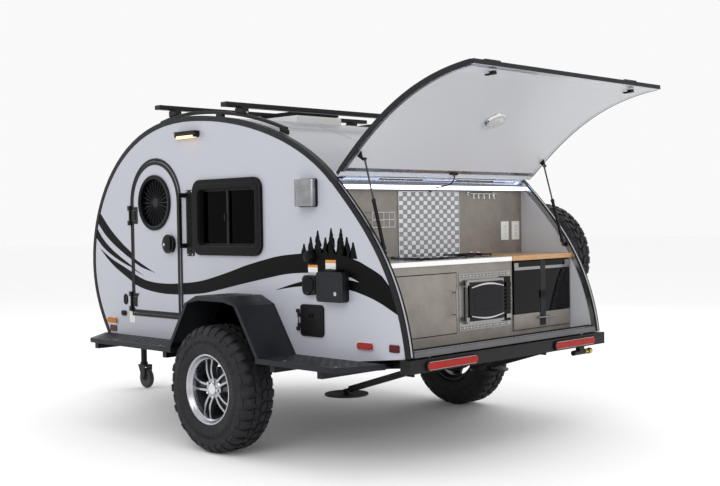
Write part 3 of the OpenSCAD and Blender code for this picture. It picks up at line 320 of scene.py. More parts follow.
def laminate(name, dark, light):
    """A board with a brushed, clouded metal-look print."""
    mat, tree, shader, coords = node_material(name)
    clouds = noise(tree, coords, 5.0, 8.0, 0.65)
    streaks = noise(tree, stretched(tree, coords, (1, 1, 14)), 22.0, 5.0)
    base = blended(tree, mapped(tree, clouds, 0, 1, 0.32, 0.68), dark, light)
    strength = mapped(tree, streaks, 0.0, 0.55)
    tree.links.new(blended(tree, strength, base, dark), shader.inputs["Base Color"])
    tree.links.new(mapped(tree, streaks, 0.26, 0.42), shader.inputs["Roughness"])
    bumped(tree, shader, streaks, 0.00005)
    shader.inputs["Metallic"].default_value = 0.12
    return mat


def butcher_block(name, tones):
    """Oiled wooden staves laid side by side along Y."""
    mat, tree, shader, coords = node_material(name)
    turned = tree.nodes.new("ShaderNodeMapping")
    turned.inputs["Rotation"].default_value = (0, 0, math.radians(90))
    tree.links.new(coords, turned.inputs["Vector"])
    brick = tree.nodes.new("ShaderNodeTexBrick")
    for socket, value in (("Scale", 1.0), ("Mortar Size", 0.0006), ("Brick Width", 0.42),
                          ("Row Height", 0.038)):
        brick.inputs[socket].default_value = value
    brick.inputs["Color1"].default_value = (*tones[0], 1)
    brick.inputs["Color2"].default_value = (*tones[1], 1)
    brick.inputs["Mortar"].default_value = (*(c * 0.45 for c in tones[0]), 1)
    tree.links.new(turned.outputs["Vector"], brick.inputs["Vector"])
    rings = noise(tree, stretched(tree, coords, (26, 1.5, 26)), 9.0, 7.0, 0.6)
    amount = mapped(tree, rings, 0.0, 0.6, 0.35, 0.7)
    dark = tuple(c * 0.5 for c in tones[0])
    tree.links.new(blended(tree, amount, brick.outputs["Color"], dark), shader.inputs["Base Color"])
    tree.links.new(mapped(tree, rings, 0.28, 0.45), shader.inputs["Roughness"])
    bumped(tree, shader, rings, 0.0001)
    shader.inputs["Coat Weight"].default_value = 0.25
    return mat


def woven(name, colour, threads=900.0):
    mat, tree, shader, coords = node_material(name)
    waves = []
    for direction in ("X", "Y"):
        wave = tree.nodes.new("ShaderNodeTexWave")
        wave.bands_direction = direction
        wave.inputs["Scale"].default_value = threads / 6
        wave.inputs["Distortion"].default_value = 0.6
        tree.links.new(coords, wave.inputs["Vector"])
        waves.append(wave.outputs["Fac"])
    both = tree.nodes.new("ShaderNodeMath")
    both.operation = "MULTIPLY"
    tree.links.new(waves[0], both.inputs[0])
    tree.links.new(waves[1], both.inputs[1])
    cloud = noise(tree, coords, 12.0, 5.0)
    lighter = tuple(c * 1.25 for c in colour)
    tree.links.new(blended(tree, mapped(tree, cloud, 0, 1), colour, lighter),
                   shader.inputs["Base Color"])
    bumped(tree, shader, both.outputs["Value"], 0.0004)
    shader.inputs["Roughness"].default_value = 0.85
    shader.inputs["Sheen Weight"].default_value = 0.12
    shader.inputs["Specular IOR Level"].default_value = 0.25
    return mat


floor_white = finish("floor_white", (0.975, 0.975, 0.975), 0.9, vary=0.003, grain=40, depth=0.00001)
panel_white = finish("panel_white", (0.425, 0.435, 0.490), 0.34, vary=0.006, coat=0.25, grain=420,
                     depth=0.000004,
                     rough_vary=0.04)
inner_white = finish("inner_white", (0.56, 0.57, 0.60), 0.42, vary=0.01, grain=300, depth=0.00001,
                     rough_vary=0.05)
roof_silver = finish("roof_silver", (0.30, 0.31, 0.34), 0.34, metal=0.30, vary=0.008, coat=0.15,
                     grain=500,
                     depth=0.000003, rough_vary=0.04)
hatch_grey = finish("hatch_grey", (0.55, 0.56, 0.585), 0.42, vary=0.008, coat=0.05, grain=350,
                    depth=0.00001,
                    rough_vary=0.05)
powder_black = finish("powder_black", (0.010, 0.011, 0.015), 0.42, vary=0.25, grain=1100,
                      depth=0.00018,
                      cloud=4, Specular_IOR_Level=0.22)
frame_black = finish("frame_black", (0.006, 0.006, 0.007), 0.36, vary=0.25, grain=800,
                     depth=0.00009,
                     Specular_IOR_Level=0.20)
gloss_black = finish("gloss_black", (0.002, 0.002, 0.003), 0.07, vary=0.2, grain=200,
                     depth=0.000005,
                     Specular_IOR_Level=0.14)
moulded_black = finish("moulded_black", (0.006, 0.006, 0.007), 0.33, vary=0.2, grain=1500,
                       depth=0.00007,
                       Specular_IOR_Level=0.18)
lid_black = finish("lid_black", (0.006, 0.006, 0.007), 0.70, vary=0.2, grain=1200, depth=0.00008,
                   Specular_IOR_Level=0.10)
trim_black = finish("trim_black", (0.008, 0.008, 0.010), 0.48, vary=0.3, grain=1600, depth=0.0002,
                    Specular_IOR_Level=0.22)
seal_black = finish("seal_black", (0.005, 0.005, 0.006), 0.62, vary=0.2, grain=700, depth=0.00008,
                    Specular_IOR_Level=0.15)
ink_black = finish("ink_black", (0.0015, 0.0015, 0.002), 0.40, vary=0.1, grain=500, depth=0.00001,
                   Specular_IOR_Level=0.08)
alloy_bright = finish("alloy_bright", (0.42, 0.43, 0.46), 0.26, metal=1.0, vary=0.04, grain=500,
                      depth=0.00002, stretch=(1, 12, 1))
# Near-black alloy for the wheel's barrel, spoke sides and webs: partly the wheel's dark pocket paint, partly
# painted shade in the recesses between and behind the spokes.
alloy_dark_and_painted_shade = finish("alloy_dark_and_painted_shade", (0.035, 0.035, 0.040), 0.45, metal=0.5, vary=0.2, grain=700,
                    depth=0.00006)
aluminium = finish("aluminium", (0.46, 0.47, 0.50), 0.28, metal=1.0, vary=0.03, grain=300,
                   depth=0.00001,
                   stretch=(12, 1, 12))
steel = finish("steel", (0.33, 0.325, 0.32), 0.28, metal=1.0, vary=0.04, grain=240, depth=0.00001,
               stretch=(14, 1, 14))
chrome = finish("chrome", (0.62, 0.63, 0.65), 0.10, metal=1.0, vary=0.03, grain=200, depth=0.00001)
strut_steel = finish("strut_steel", (0.045, 0.045, 0.050), 0.22, metal=0.8, vary=0.1, grain=300,
                     depth=0.00001)
cowl_metal = finish("cowl_metal", (0.30, 0.31, 0.32), 0.20, metal=1.0, vary=0.25, cloud=14,
                    grain=200, depth=0.00001)
zinc = finish("zinc", (0.30, 0.31, 0.32), 0.36, metal=1.0, vary=0.15, grain=500, depth=0.00006,
              cloud=30)
brass = finish("brass", (0.62, 0.43, 0.12), 0.28, metal=1.0, vary=0.1, grain=400, depth=0.00004)
tyre_rubber = finish("tyre_rubber", (0.012, 0.012, 0.014), 0.62, vary=0.35, cloud=14, grain=700,
                     depth=0.00016, Specular_IOR_Level=0.25)
caster_rubber = finish("caster_rubber", (0.020, 0.020, 0.021), 0.58, vary=0.3, grain=600,
                       depth=0.0001)
bottle_white = finish("bottle_white", (0.78, 0.78, 0.76), 0.26, vary=0.03, coat=0.4, grain=300,
                      depth=0.00003)
worktop_white = finish("worktop_white", (0.80, 0.80, 0.79), 0.16, vary=0.02, coat=0.3, grain=250,
                       depth=0.00001)
vent_white = finish("vent_white", (0.66, 0.66, 0.64), 0.42, vary=0.04, grain=900, depth=0.00005)
knob_red = finish("knob_red", (0.42, 0.02, 0.015), 0.22, vary=0.1, coat=0.5, grain=400,
                  depth=0.00002)
sticker_white = finish("sticker_white", (0.74, 0.74, 0.72), 0.34, vary=0.03, grain=600,
                       depth=0.00002)
sticker_orange = finish("sticker_orange", (0.66, 0.24, 0.03), 0.34, vary=0.06, grain=600,
                        depth=0.00002)
tile_white = finish("tile_white", (0.68, 0.69, 0.70), 0.14, vary=0.06, cloud=27, coat=0.5,
                    grain=300,
                    depth=0.00002)
tile_grey = finish("tile_grey", (0.26, 0.27, 0.29), 0.24, metal=0.6, vary=0.15, cloud=27, grain=300,
                   depth=0.00003, stretch=(1, 14, 1))
grout = finish("grout", (0.36, 0.35, 0.34), 0.8, vary=0.1, grain=1200, depth=0.0002)
floor_board = finish("floor_board", (0.10, 0.10, 0.105), 0.6, vary=0.2, grain=500, depth=0.0001)
board = laminate("board", (0.185, 0.165, 0.145), (0.300, 0.270, 0.240))
wood = butcher_block("wood", ((0.50, 0.27, 0.11), (0.62, 0.37, 0.17)))
mattress_cloth = woven("mattress_cloth", (0.30, 0.31, 0.34))
strap_black = woven("strap_black", (0.012, 0.012, 0.014), 1500)
dark_glass = clear("dark_glass", (0.007, 0.007, 0.009))
smoked_glass = clear("smoked_glass", (0.10, 0.11, 0.13))
oven_glass = finish("oven_glass", (0.003, 0.003, 0.005), 0.05, vary=0.2, grain=200, depth=0.000005,
                    Specular_IOR_Level=0.2)
red_lens = lens("red_lens", (0.52, 0.012, 0.004))
red_reflector = lens("red_reflector", (0.13, 0.005, 0.007), 600)
amber_lens = lens("amber_lens", (0.75, 0.24, 0.02))
warm_lens = lens("warm_lens", (1.0, 0.62, 0.30), 160, glow=1.8)
led_lens = lens("led_lens", (0.62, 0.72, 1.0), 300, glow=5.0)
dome_lens = lens("dome_lens", (0.92, 0.92, 0.90), 300)


# ---- mesh helpers ----
def link(name, bm, mats):
    mesh = bpy.data.meshes.new(name)
    bm.to_mesh(mesh)
    bm.free()
    for mat in mats:
        mesh.materials.append(mat)
    piece = bpy.data.objects.new(name, mesh)
    bpy.context.scene.collection.objects.link(piece)
    return piece


def bevel_sharp(bm, verts, width, segments, angle, **more):
    """Rounds the edges at verts where two faces meet at more than angle."""
    edges = {e for v in verts for e in v.link_edges}
    limit = math.radians(angle)
    sharp = [e for e in edges if len(e.link_faces) == 2 and e.calc_face_angle(0) > limit]
    if width > 0 and sharp:
        bmesh.ops.bevel(bm, geom=sharp, offset=width, segments=segments, profile=0.5,
                        affect="EDGES",
                        clamp_overlap=True, **more)


def shade(piece, angle=38):
    """Smooth shading with sharp corners, and flat faces kept flat beside their rounded edges."""
    piece.data.shade_smooth()
    piece.data.set_sharp_from_angle(angle=math.radians(angle))
    weighted = piece.modifiers.new("even normals", "WEIGHTED_NORMAL")
    weighted.keep_sharp = True


class Piece:
    """Collects shapes in one mesh; each shape takes the material of the given number."""

    def __init__(self, name, body, slot, *mats):
        self.name, self.body, self.slot, self.mats = name, body, slot, mats
        self.bm = bmesh.new()

    def _keep(self, verts, mat, turn=None):
        for face in {f for v in verts for f in v.link_faces}:
            face.material_index = mat
        if turn is not None:
            bmesh.ops.transform(self.bm, matrix=turn, verts=list(verts))

    def loft(self, rings, caps=True, closed=False):
        """Joins rings of vertices in turn and returns the new faces, which look outward."""
        faces = []
        for a, b in list(zip(rings, rings[1:])) + ([(rings[-1], rings[0])] if closed else []):
            for s in range(len(a)):
                n = (s + 1) % len(a)
                faces.append(self.bm.faces.new((a[s], a[n], b[n], b[s])))
        if caps:
            faces += [self.bm.faces.new(rings[0][::-1]), self.bm.faces.new(rings[-1])]
        bmesh.ops.recalc_face_normals(self.bm, faces=faces)
        return faces

    def box(self, low, high, width=0.0, mat=0, turn=None, segments=2):
        before = set(self.bm.verts)
        size = Vector(high) - Vector(low)
        middle = (Vector(high) + Vector(low)) / 2
        made = bmesh.ops.create_cube(self.bm, size=1.0)["verts"]
        bmesh.ops.scale(self.bm, vec=size, verts=made)
        bmesh.ops.translate(self.bm, vec=middle, verts=made)
        bevel_sharp(self.bm, made, width, segments, 30)
        self._keep(set(self.bm.verts) - before, mat, turn)

    def prism(self, outline, y0, y1, width=0.0, mat=0):
        """An (x, z) outline drawn out from y0 to y1."""
        before = set(self.bm.verts)
        rings = [[self.bm.verts.new((x, y, z)) for x, z in outline] for y in (y0, y1)]
        self.loft(rings)
        bevel_sharp(self.bm, set(self.bm.verts) - before, width, 2, 30)
        self._keep(set(self.bm.verts) - before, mat)

    def lathe(self, profile, centre, axis=(0, 1, 0), steps=48, mat=0, closed=False):
        """A profile of (radius, height along the axis) points turned about an axis through centre."""
        before = set(self.bm.verts)
        rings = []
        for radius, height in profile:
            if radius < 1e-6:
                rings.append([self.bm.verts.new((0, 0, height))] * steps)
                continue
            rings.append([
                self.bm.verts.new(
                    (radius * math.cos(math.tau * k / steps),
                     radius * math.sin(math.tau * k / steps), height)
                )
                for k in range(steps)
            ])
        pairs = list(zip(rings, rings[1:])) + ([(rings[-1], rings[0])] if closed else [])
        for low, high in pairs:
            for k in range(steps):
                n = (k + 1) % steps
                corners = list(dict.fromkeys((low[k], low[n], high[n], high[k])))
                if len(corners) > 2:
                    self.bm.faces.new(corners)
        made = set(self.bm.verts) - before
        bmesh.ops.recalc_face_normals(self.bm, faces=list({f for v in made for f in v.link_faces}))
        spin = Vector((0, 0, 1)).rotation_difference(Vector(axis)).to_matrix().to_4x4()
        self._keep(made, mat, Matrix.Translation(Vector(centre)) @ spin)

    def disc(self, centre, radius, height, axis=(0, 1, 0), steps=32, mat=0):
        """A round puck with a softened rim, standing on centre along axis."""
        soft = min(radius, height) * 0.25
        profile = [(0, 0), (radius, 0), (radius, height - soft),
                   (radius - 0.3 * soft, height - 0.3 * soft),
                   (radius - soft, height), (0, height)]
        self.lathe(profile, centre, axis, steps, mat)

    def tube(self, path, radius, sides=12, mat=0):
        before = set(self.bm.verts)
        path = [Vector(p) for p in path]
        count = len(path)
        rings, side = [], None
        for k, point in enumerate(path):
            run = path[min(k + 1, count - 1)] - path[max(k - 1, 0)]
            run.normalize()
            if side is None:
                side = run.orthogonal().normalized()
            side = (side - side.dot(run) * run).normalized()
            other = run.cross(side)
            r = radius[k] if isinstance(radius, (list, tuple)) else radius
            rings.append([
                self.bm.verts.new(
                    point + r * (math.cos(math.tau * s / sides) * side + math.sin(math.tau * s / sides) * other)
                )
                for s in range(sides)
            ])
        self.loft(rings)
        self._keep(set(self.bm.verts) - before, mat)

    def strip(self, points, normals, y0, y1, low, high, mat=0):
        """A band that follows side-view points, from y0 to y1 and from low to high along their normals."""
        before = set(self.bm.verts)
        rings = []
        for p, n in zip(points, normals):
            corners = [(p + out * n, y) for out,
                       y in ((low, y0), (high, y0), (high, y1), (low, y1))]
            rings.append([self.bm.verts.new(at(q.x, y, q.y)) for q, y in corners])
        self.loft(rings)
        self._keep(set(self.bm.verts) - before, mat)

    def swapped(self, before):
        """Turns what was added since before from the side's (x, z) to the rear's (y, z)."""
        made = set(self.bm.verts) - before
        for vert in made:
            vert.co = Vector((vert.co.y, vert.co.x, vert.co.z))
        return list({f for v in made for f in v.link_faces})

    def mirrored(self):
        """Adds the mirror image of everything so far, across the trailer's middle."""
        made = bmesh.ops.duplicate(self.bm,
                                   geom=self.bm.verts[:] + self.bm.edges[:] + self.bm.faces[:])
        verts = [g for g in made["geom"] if isinstance(g, bmesh.types.BMVert)]
        faces = [g for g in made["geom"] if isinstance(g, bmesh.types.BMFace)]
        bmesh.ops.transform(self.bm, matrix=Matrix.Scale(-1, 4, (0, 1, 0)), verts=verts)
        bmesh.ops.reverse_faces(self.bm, faces=faces)

    def turned(self, matrix):
        bmesh.ops.transform(self.bm, matrix=matrix, verts=self.bm.verts[:])

    def done(self, *replaced, angle=38):
        piece = link(self.name, self.bm, self.mats)
        shade(piece, angle)
        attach(piece, self.body)
        if replaced:
            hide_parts(*replaced)
        return piece


def islands(bm):
    left, found = set(bm.verts), []
    while left:
        stack = [left.pop()]
        group = set(stack)
        while stack:
            for edge in stack.pop().link_edges:
                for vert in edge.verts:
                    if vert in left:
                        left.remove(vert)
                        group.add(vert)
                        stack.append(vert)
        found.append(group)
    return found


BODY_OF = {n: o["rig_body"] for n, o in frame["nodes"].items()}


def refinish(node, mat):
    """Gives a CAD node that keeps its own mesh its material."""
    slots = frame["nodes"][node].data.materials
    slots.clear()
    slots.append(mat)


def soften(node, width, *mats, pick=None, face_pick=None, segments=2):
    """Stands for a CAD node with the same shape and rounded edges. pick chooses a material number
    for each of its solids from the solid's lowest and highest corner, and face_pick for each face."""
    bm = bmesh.new()
    bm.from_mesh(frame["nodes"][node].data)
    bmesh.ops.remove_doubles(bm, verts=bm.verts[:], dist=2e-5)
    bmesh.ops.dissolve_limit(bm, angle_limit=math.radians(0.6), verts=bm.verts[:],
                             edges=bm.edges[:])
    for group in islands(bm):
        low = Vector([min(v.co[i] for v in group) for i in range(3)])
        high = Vector([max(v.co[i] for v in group) for i in range(3)])
        number = pick(low, high) if pick else 0
        for face in {f for v in group for f in v.link_faces}:
            face.material_index = face_pick(face, low, high) if face_pick else number
        bevel_sharp(bm, group, width, segments, 28, material=-1)
    piece = link(node + "_finish", bm, mats)
    spare = piece.data.attributes.get("custom_normal")
    if spare:
        piece.data.attributes.remove(spare)
    shade(piece)
    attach(piece, BODY_OF[node])
    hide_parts(node)
    return piece


# ---- graphics on the body's sides: two stripes, a hill band and pine trees ----
def add_decal(piece, outline, y, side, x_low=None, x_high=None, mat=0, thick=0.0005):
    """A thin coloured (x, z) shape, x from the wheel axis, laid on a wall's face at y."""
    bm = bmesh.new()
    face = bm.faces.new([bm.verts.new(at(p[0], side * y, p[1])) for p in outline])
    bmesh.ops.triangulate(bm, faces=[face], ngon_method="EAR_CLIP")
    for limit, way in ((x_low, -1), (x_high, 1)):
        if limit is not None:
            bmesh.ops.bisect_plane(
                bm, geom=bm.verts[:] + bm.edges[:] + bm.faces[:], plane_co=at(limit, 0, 0),
                plane_no=(way, 0, 0), clear_outer=True,
            )
    grown = bmesh.ops.extrude_face_region(bm, geom=bm.faces[:], use_keep_orig=True)["geom"]
    top = [g for g in grown if isinstance(g, bmesh.types.BMVert)]
    bmesh.ops.translate(bm, vec=(0, side * thick, 0), verts=top)
    bmesh.ops.recalc_face_normals(bm, faces=bm.faces[:])
    for face in bm.faces:
        face.material_index = mat
    mesh = bpy.data.meshes.new("part")
    bm.to_mesh(mesh)
    bm.free()
    piece.bm.from_mesh(mesh)
    bpy.data.meshes.remove(mesh)


def pine(x, base, tip, spread):
    """Outline of a pine: a spire of drooping, ragged layers."""
    layers = max(4, round((tip - base) / 0.0225))
    left, right = [], []
    for k in range(layers):
        low = base + (tip - base) * k / layers
        step = (tip - base) / layers
        reach = spread * (1 - k / layers) ** 0.82
        uneven = 1 + 0.16 * math.sin(7.3 * k + 31 * x)
        left += [(x - reach * uneven, low + 0.15 * step), (x - 0.60 * reach, low + 0.86 * step)]
        right += [(x + reach * (2 - uneven), low + 0.15 * step),
                  (x + 0.60 * reach, low + 0.86 * step)]
    return left + [(x, tip)] + right[::-1]


DOOR_FRONT, DOOR_REAR = 1.2275, 0.6455
LEAF_FRONT, LEAF_REAR = 1.2075, 0.6655
TOP_STRIPE = (
    [(1.482, 1.290), (1.340, 1.195), (1.234, 1.136), (1.190, 1.098), (1.069, 1.049),
     (0.937, 1.001)],
    [(0.990, 1.014), (1.110, 1.040), (1.236, 1.090), (1.333, 1.133), (1.437, 1.184),
     (1.551, 1.253)],
    (1.405, 1.333),
)
MIDDLE_STRIPE = (
    [(1.582, 1.226), (1.487, 1.163), (1.372, 1.106), (1.224, 1.043), (1.150, 1.010),
     (1.075, 0.983)],
    [(1.140, 1.000), (1.225, 1.031), (1.336, 1.064), (1.469, 1.112), (1.584, 1.168)],
    (1.296, 1.232),
)
BAND_TOP = [
    (1.630, 1.162), (1.489, 1.094), (1.346, 1.044), (1.216, 1.000), (1.072, 0.957), (0.939, 0.941),
    (0.809, 0.938), (0.698, 0.943), (0.462, 0.965), (0.198, 1.022), (0.012, 1.070), (-0.167, 1.108),
    (-0.304, 1.132), (-0.482, 1.147), (-0.620, 1.152), (-0.780, 1.148), (-0.933, 1.115),
    (-1.000, 1.090), (-1.076, 1.058), (-1.141, 1.024),
]
BAND_LOW = [
    (-1.127, 0.885), (-1.044, 0.915), (-0.959, 0.938), (-0.875, 0.955), (-0.659, 0.972),
    (-0.522, 0.965), (-0.404, 0.955), (-0.250, 0.932),
]
GAP = [
    (-0.404, 0.972), (-0.522, 0.996), (-0.640, 1.012), (-0.780, 1.014), (-0.870, 1.010),
    (-0.948, 0.999), (-0.870, 1.026), (-0.700, 1.040), (-0.479, 1.038),
]
BAND_REST = [
    (-0.297, 1.020), (0.006, 0.967), (0.341, 0.904), (0.465, 0.886), (0.635, 0.874), (0.811, 0.871),
    (0.941, 0.878), (1.074, 0.895), (1.191, 0.925), (1.338, 0.987), (1.443, 1.036), (1.538, 1.093),
]
PINE_BASE = 1.120
PINES = [
    (-0.513, 1.204), (-0.571, 1.243), (-0.629, 1.278), (-0.689, 1.240), (-0.736, 1.290),
    (-0.813, 1.289), (-0.858, 1.242), (-0.906, 1.214),
]


def stripe(parts):
    upper, lower, (high, low) = parts
    edge = [(edge_x(low + (high - low) * k / 4, True),
             low + (high - low) * k / 4) for k in range(5)]
    return edge + smooth_line([edge[-1]] + upper)[1:] + smooth_line(lower + [edge[0]])[:-1]


def height_on(line, x):
    """The height of a line of points at x."""
    best = min(zip(line, line[1:]), key=lambda ends: abs((ends[0][0] + ends[1][0]) / 2 - x))
    (x0, z0), (x1, z1) = best
    return z0 + (z1 - z0) * max(-0.5, min(1.5, (x - x0) / (x1 - x0)))


def between(upper, lower, x0, x1, steps=40):
    """Outline of the area between two lines from x0 to x1."""
    stations = [x0 + (x1 - x0) * k / steps for k in range(steps + 1)]
    return [(x, height_on(upper, x)) for x in stations] + [(x,
                                                            height_on(lower,
                                                                      x)) for x in reversed(stations)]


def hill_shapes():
    """The band in pieces that meet: its front, the part over the gap, the tail under it and its rear."""
    top = smooth_line(BAND_TOP)
    low = smooth_line(BAND_LOW)
    rest = smooth_line(BAND_REST)
    gap_low = smooth_line([BAND_LOW[-1]] + GAP[:6])
    gap_high = smooth_line(GAP[5:] + BAND_REST[:2])
    front = between(top, rest, 1.52, -0.297, 90)
    nose = [(1.52, height_on(rest, 1.52)), BAND_REST[-1], BAND_TOP[0], (1.52, height_on(top, 1.52))]
    over = between(top, gap_high, -0.297, -0.948, 40)
    tail = between(gap_low, low, -0.262, -0.948, 40)
    last = -1.118
    rear = between(top, low, -0.948, last, 12)
    edge = [(edge_x(z, False), z) for z in (0.985, 0.955, 0.925, 0.895, 0.865, 0.838)]
    end = [(last, height_on(low, last)), (last, height_on(top, last))] + edge
    return [front, nose], [over, tail, rear, end]


def graphics():
    ahead, behind = hill_shapes()
    stripes = [stripe(TOP_STRIPE), stripe(MIDDLE_STRIPE)]
    walls = Piece("side_graphics", "trailer", "trim_black", ink_black)
    for shape in stripes + ahead:
        add_decal(walls, shape, WALL_OUT, 1, x_low=DOOR_FRONT)
    add_decal(walls, ahead[0], WALL_OUT, 1, x_high=DOOR_REAR)
    for shape in behind:
        add_decal(walls, shape, WALL_OUT, 1)
    for x, tip in PINES:
        add_decal(walls, pine(x, PINE_BASE, tip, 0.012 + 0.220 * (tip - PINE_BASE)), WALL_OUT, 1,
                  thick=0.0004)
    walls.mirrored()
    walls.done()
    for name, side in (("left", 1), ("right", -1)):
        leaf = Piece("door_graphics_" + name, "side_door_" + name, "trim_black", ink_black)
        for shape in stripes + ahead[:1]:
            add_decal(leaf, shape, DOOR_OUT, side, x_low=LEAF_REAR, x_high=LEAF_FRONT)
        leaf.done()


# ---- wheels ----
def tyre_shape(piece, centre):
    """An off-road tyre: ribbed sidewalls, staggered centre lugs and shoulder lugs that wrap down."""
    half, r = TYRE_W / 2, TYRE_R
    deep = 0.012
    wall = [(0.196, half - 0.028), (0.207, half - 0.015), (0.212, half - 0.0135),
            (0.222, half - 0.009),
            (0.250, half - 0.004), (0.256, half - 0.0025), (0.262, half - 0.0045),
            (0.290, half - 0.003),
            (0.318, half - 0.006), (0.335, half - 0.012), (0.348, half - 0.022),
            (r - deep, half - 0.040),
            (r - deep + 0.001, half - 0.075)]
    profile = wall + [(a, -b) for a, b in wall[::-1]]
    profile += [(0.194, -half + 0.040), (0.194, half - 0.040)]
    piece.lathe(profile, centre, (0, 1, 0), 112, 0, closed=True)
    pitches = 34
    pitch = math.tau / pitches

    def lug(outline, middle, arc, skew, shrink):
        """outline is (height across the tread, radius); the lug spans arc about the middle angle."""
        rings = []
        for end in (-0.5, 0.5):
            ring = []
            for y, radius in outline:
                squeeze = shrink if radius > r - 0.004 or abs(y) > half - 0.0035 else 0.0
                angle = middle + end * (arc - squeeze) + skew * y
                spot = Vector((radius * math.cos(angle), y, radius * math.sin(angle)))
                ring.append(piece.bm.verts.new(centre + spot))
            rings.append(ring)
        piece.loft(rings)

    floor = r - deep - 0.002
    for k in range(pitches):
        turn = math.tau * k / pitches
        long = k % 2 == 0
        for side in (-1, 1):
            start = turn + (pitch / 2 if side > 0 else 0)
            down = 0.306 if long else 0.326
            tuck = half - 0.0005 if long else half - 0.002
            shoulder = [(half - 0.070, floor), (half - 0.068, r - 0.0012),
                        (half - 0.060, r - 0.0004),
                        (half - 0.042, r - 0.001), (half - 0.021, r - 0.0135),
                        (half - 0.008, r - 0.034),
                        (tuck, down + 0.012), (half - 0.0065, down), (half - 0.020, r - 0.045),
                        (half - 0.045, floor)]
            lug([(side * y, q) for y, q in shoulder], start, pitch * 0.70, side * 0.25,
                pitch * 0.07)
            inner, outer = (0.003, half - 0.077) if long else (0.008, half - 0.075)
            block = [(inner, floor), (inner + 0.0015, r - 0.0006), (outer - 0.0015, r - 0.0004),
                     (outer, floor)]
            lug([(side * y, q) for y, q in block], start + pitch * 0.28, pitch * 0.66, -side * 1.6,
                pitch * 0.08)
            for bar in (-0.28, 0.0, 0.28):
                angle = start + bar * pitch
                rib = [(half - 0.0052, 0.266), (half - 0.0015, 0.268), (half - 0.0012, 0.284),
                       (half - 0.0052, 0.286)]
                lug([(side * y, q) for y, q in rib], angle, pitch * 0.16, 0, 0)


def rim_shape(piece, centre, side):
    """An alloy rim with five twin spokes that faces side, and a machined lip. Its barrel, the spoke sides and
    the web between each spoke pair are dark: partly the wheel's pocket paint, partly painted shade in these
    recesses.
    """
    seat = 0.1947
    inner, outer = 0.050, seat - 0.022

    def turned(profile, steps, mat, place=centre, closed=False):
        piece.lathe([(a, side * b) for a, b in profile], place, (0, 1, 0), steps, mat, closed)

    def on_spoke(middle, radius, offset, depth):
        """A vertex at radius along a spoke, offset across it and depth out of the wheel's middle."""
        x = radius * math.cos(middle) - offset * math.sin(middle)
        z = radius * math.sin(middle) + offset * math.cos(middle)
        return piece.bm.verts.new(centre + Vector((x, side * depth, z)))

    # The barrel is near-black: painted shade inside the wheel, where the barrel shows between the spokes.
    turned([(seat - 0.009, -0.094), (seat - 0.001, -0.094), (seat - 0.004, -0.080),
            (seat - 0.020, -0.060),
            (seat - 0.020, 0.020), (seat - 0.006, 0.060), (seat - 0.008, 0.090),
            (seat - 0.013, 0.084),
            (seat - 0.030, 0.020), (seat - 0.030, -0.060), (seat - 0.013, -0.084)], 96, 1,
            closed=True)
    turned([(seat - 0.013, 0.082), (seat - 0.0005, 0.0925), (seat + 0.0085, 0.1015),
            (seat + 0.0090, 0.1035),
            (seat + 0.0070, 0.1048), (seat + 0.0010, 0.1040), (seat - 0.0050, 0.0985),
            (seat - 0.0080, 0.0900),
            (seat - 0.0140, 0.0840), (seat - 0.0200, 0.0790), (seat - 0.0260, 0.0560),
            (seat - 0.0240, 0.0540)],
           120, 0, closed=True)
    turned([(0, -0.01), (0.118, -0.01), (0.122, -0.006), (0.122, 0.010), (0.105, 0.016),
            (0.060, 0.018),
            (0, 0.018)], 64, 2)
    turned([(0, 0), (0.060, 0), (0.066, 0.030), (0.064, 0.054), (0.058, 0.062), (0.046, 0.064),
            (0.041, 0.059), (0, 0.059)], 64, 0)
    turned([(0, 0.058), (0.0345, 0.058), (0.0345, 0.068), (0.0325, 0.0715), (0.028, 0.0735),
            (0.022, 0.0725), (0, 0.0735)], 48, 3)
    stations = []
    for s in range(8):
        t = s / 7
        rise = 0.010 * math.sin(math.pi * min(1.0, t * 1.15)) - 0.004 * t
        spread = 0.0165 + 0.0050 * t + 0.0085 * t * t
        stations.append((t, inner + (outer - inner) * t, spread, rise))
    for k in range(5):
        middle = math.tau * k / 5 + math.radians(5)
        for half in (-1, 1):
            rings = []
            for t, radius, spread, rise in stations:
                wide = 0.0165 - 0.0045 * t + 0.003 * t * t
                face = 0.062 + rise
                back = face - 0.036 + 0.010 * t
                section = [(-wide * 0.50, back), (-wide * 0.56, face - 0.006), (-wide * 0.40, face),
                           (wide * 0.40, face), (wide * 0.56, face - 0.006), (wide * 0.50, back)]
                rings.append([on_spoke(middle, radius, half * spread + across, depth)
                              for across, depth in section])
            # Front faces and chamfers are bright; the sides and backs are near-black, partly pocket paint and
            # partly painted shade.
            for s, face in enumerate(piece.loft(rings)[:-2]):
                face.material_index = 0 if s % 6 in (1, 2, 3) else 1
        # A near-black web recessed between the two spokes of each pair: partly pocket paint, partly painted
        # shade in that gap.
        web = []
        for t, radius, spread, rise in stations:
            face = 0.046 + rise
            section = ((-spread, face - 0.014), (-spread, face), (spread, face),
                       (spread, face - 0.014))
            web.append([on_spoke(middle, radius, across, depth) for across, depth in section])
        for face in piece.loft(web):
            face.material_index = 1
        way = middle + math.radians(36)
        nut = centre + Vector((0.048 * math.cos(way), side * 0.057, 0.048 * math.sin(way)))
        turned([(0, 0), (0.0105, 0), (0.0105, 0.012), (0.0085, 0.0165), (0, 0.018)], 6, 3, nut)
    valve = centre + Vector((0.158 * math.cos(0.6), side * 0.050, 0.158 * math.sin(0.6)))
    turned([(0, 0), (0.004, 0), (0.004, 0.03), (0, 0.032)], 12, 4, valve)


def wheel(tyre_name, rim_name, body, centre, side, tyre_node, *rim_node):
    rubber = Piece(tyre_name, body, "tyre", tyre_rubber)
    tyre_shape(rubber, centre)
    rubber.done(tyre_node, angle=30)
    metal = Piece(rim_name, body, "alloy", alloy_bright, alloy_dark_and_painted_shade, zinc, chrome, moulded_black)
    rim_shape(metal, centre, side)
    metal.done(*rim_node, angle=32)


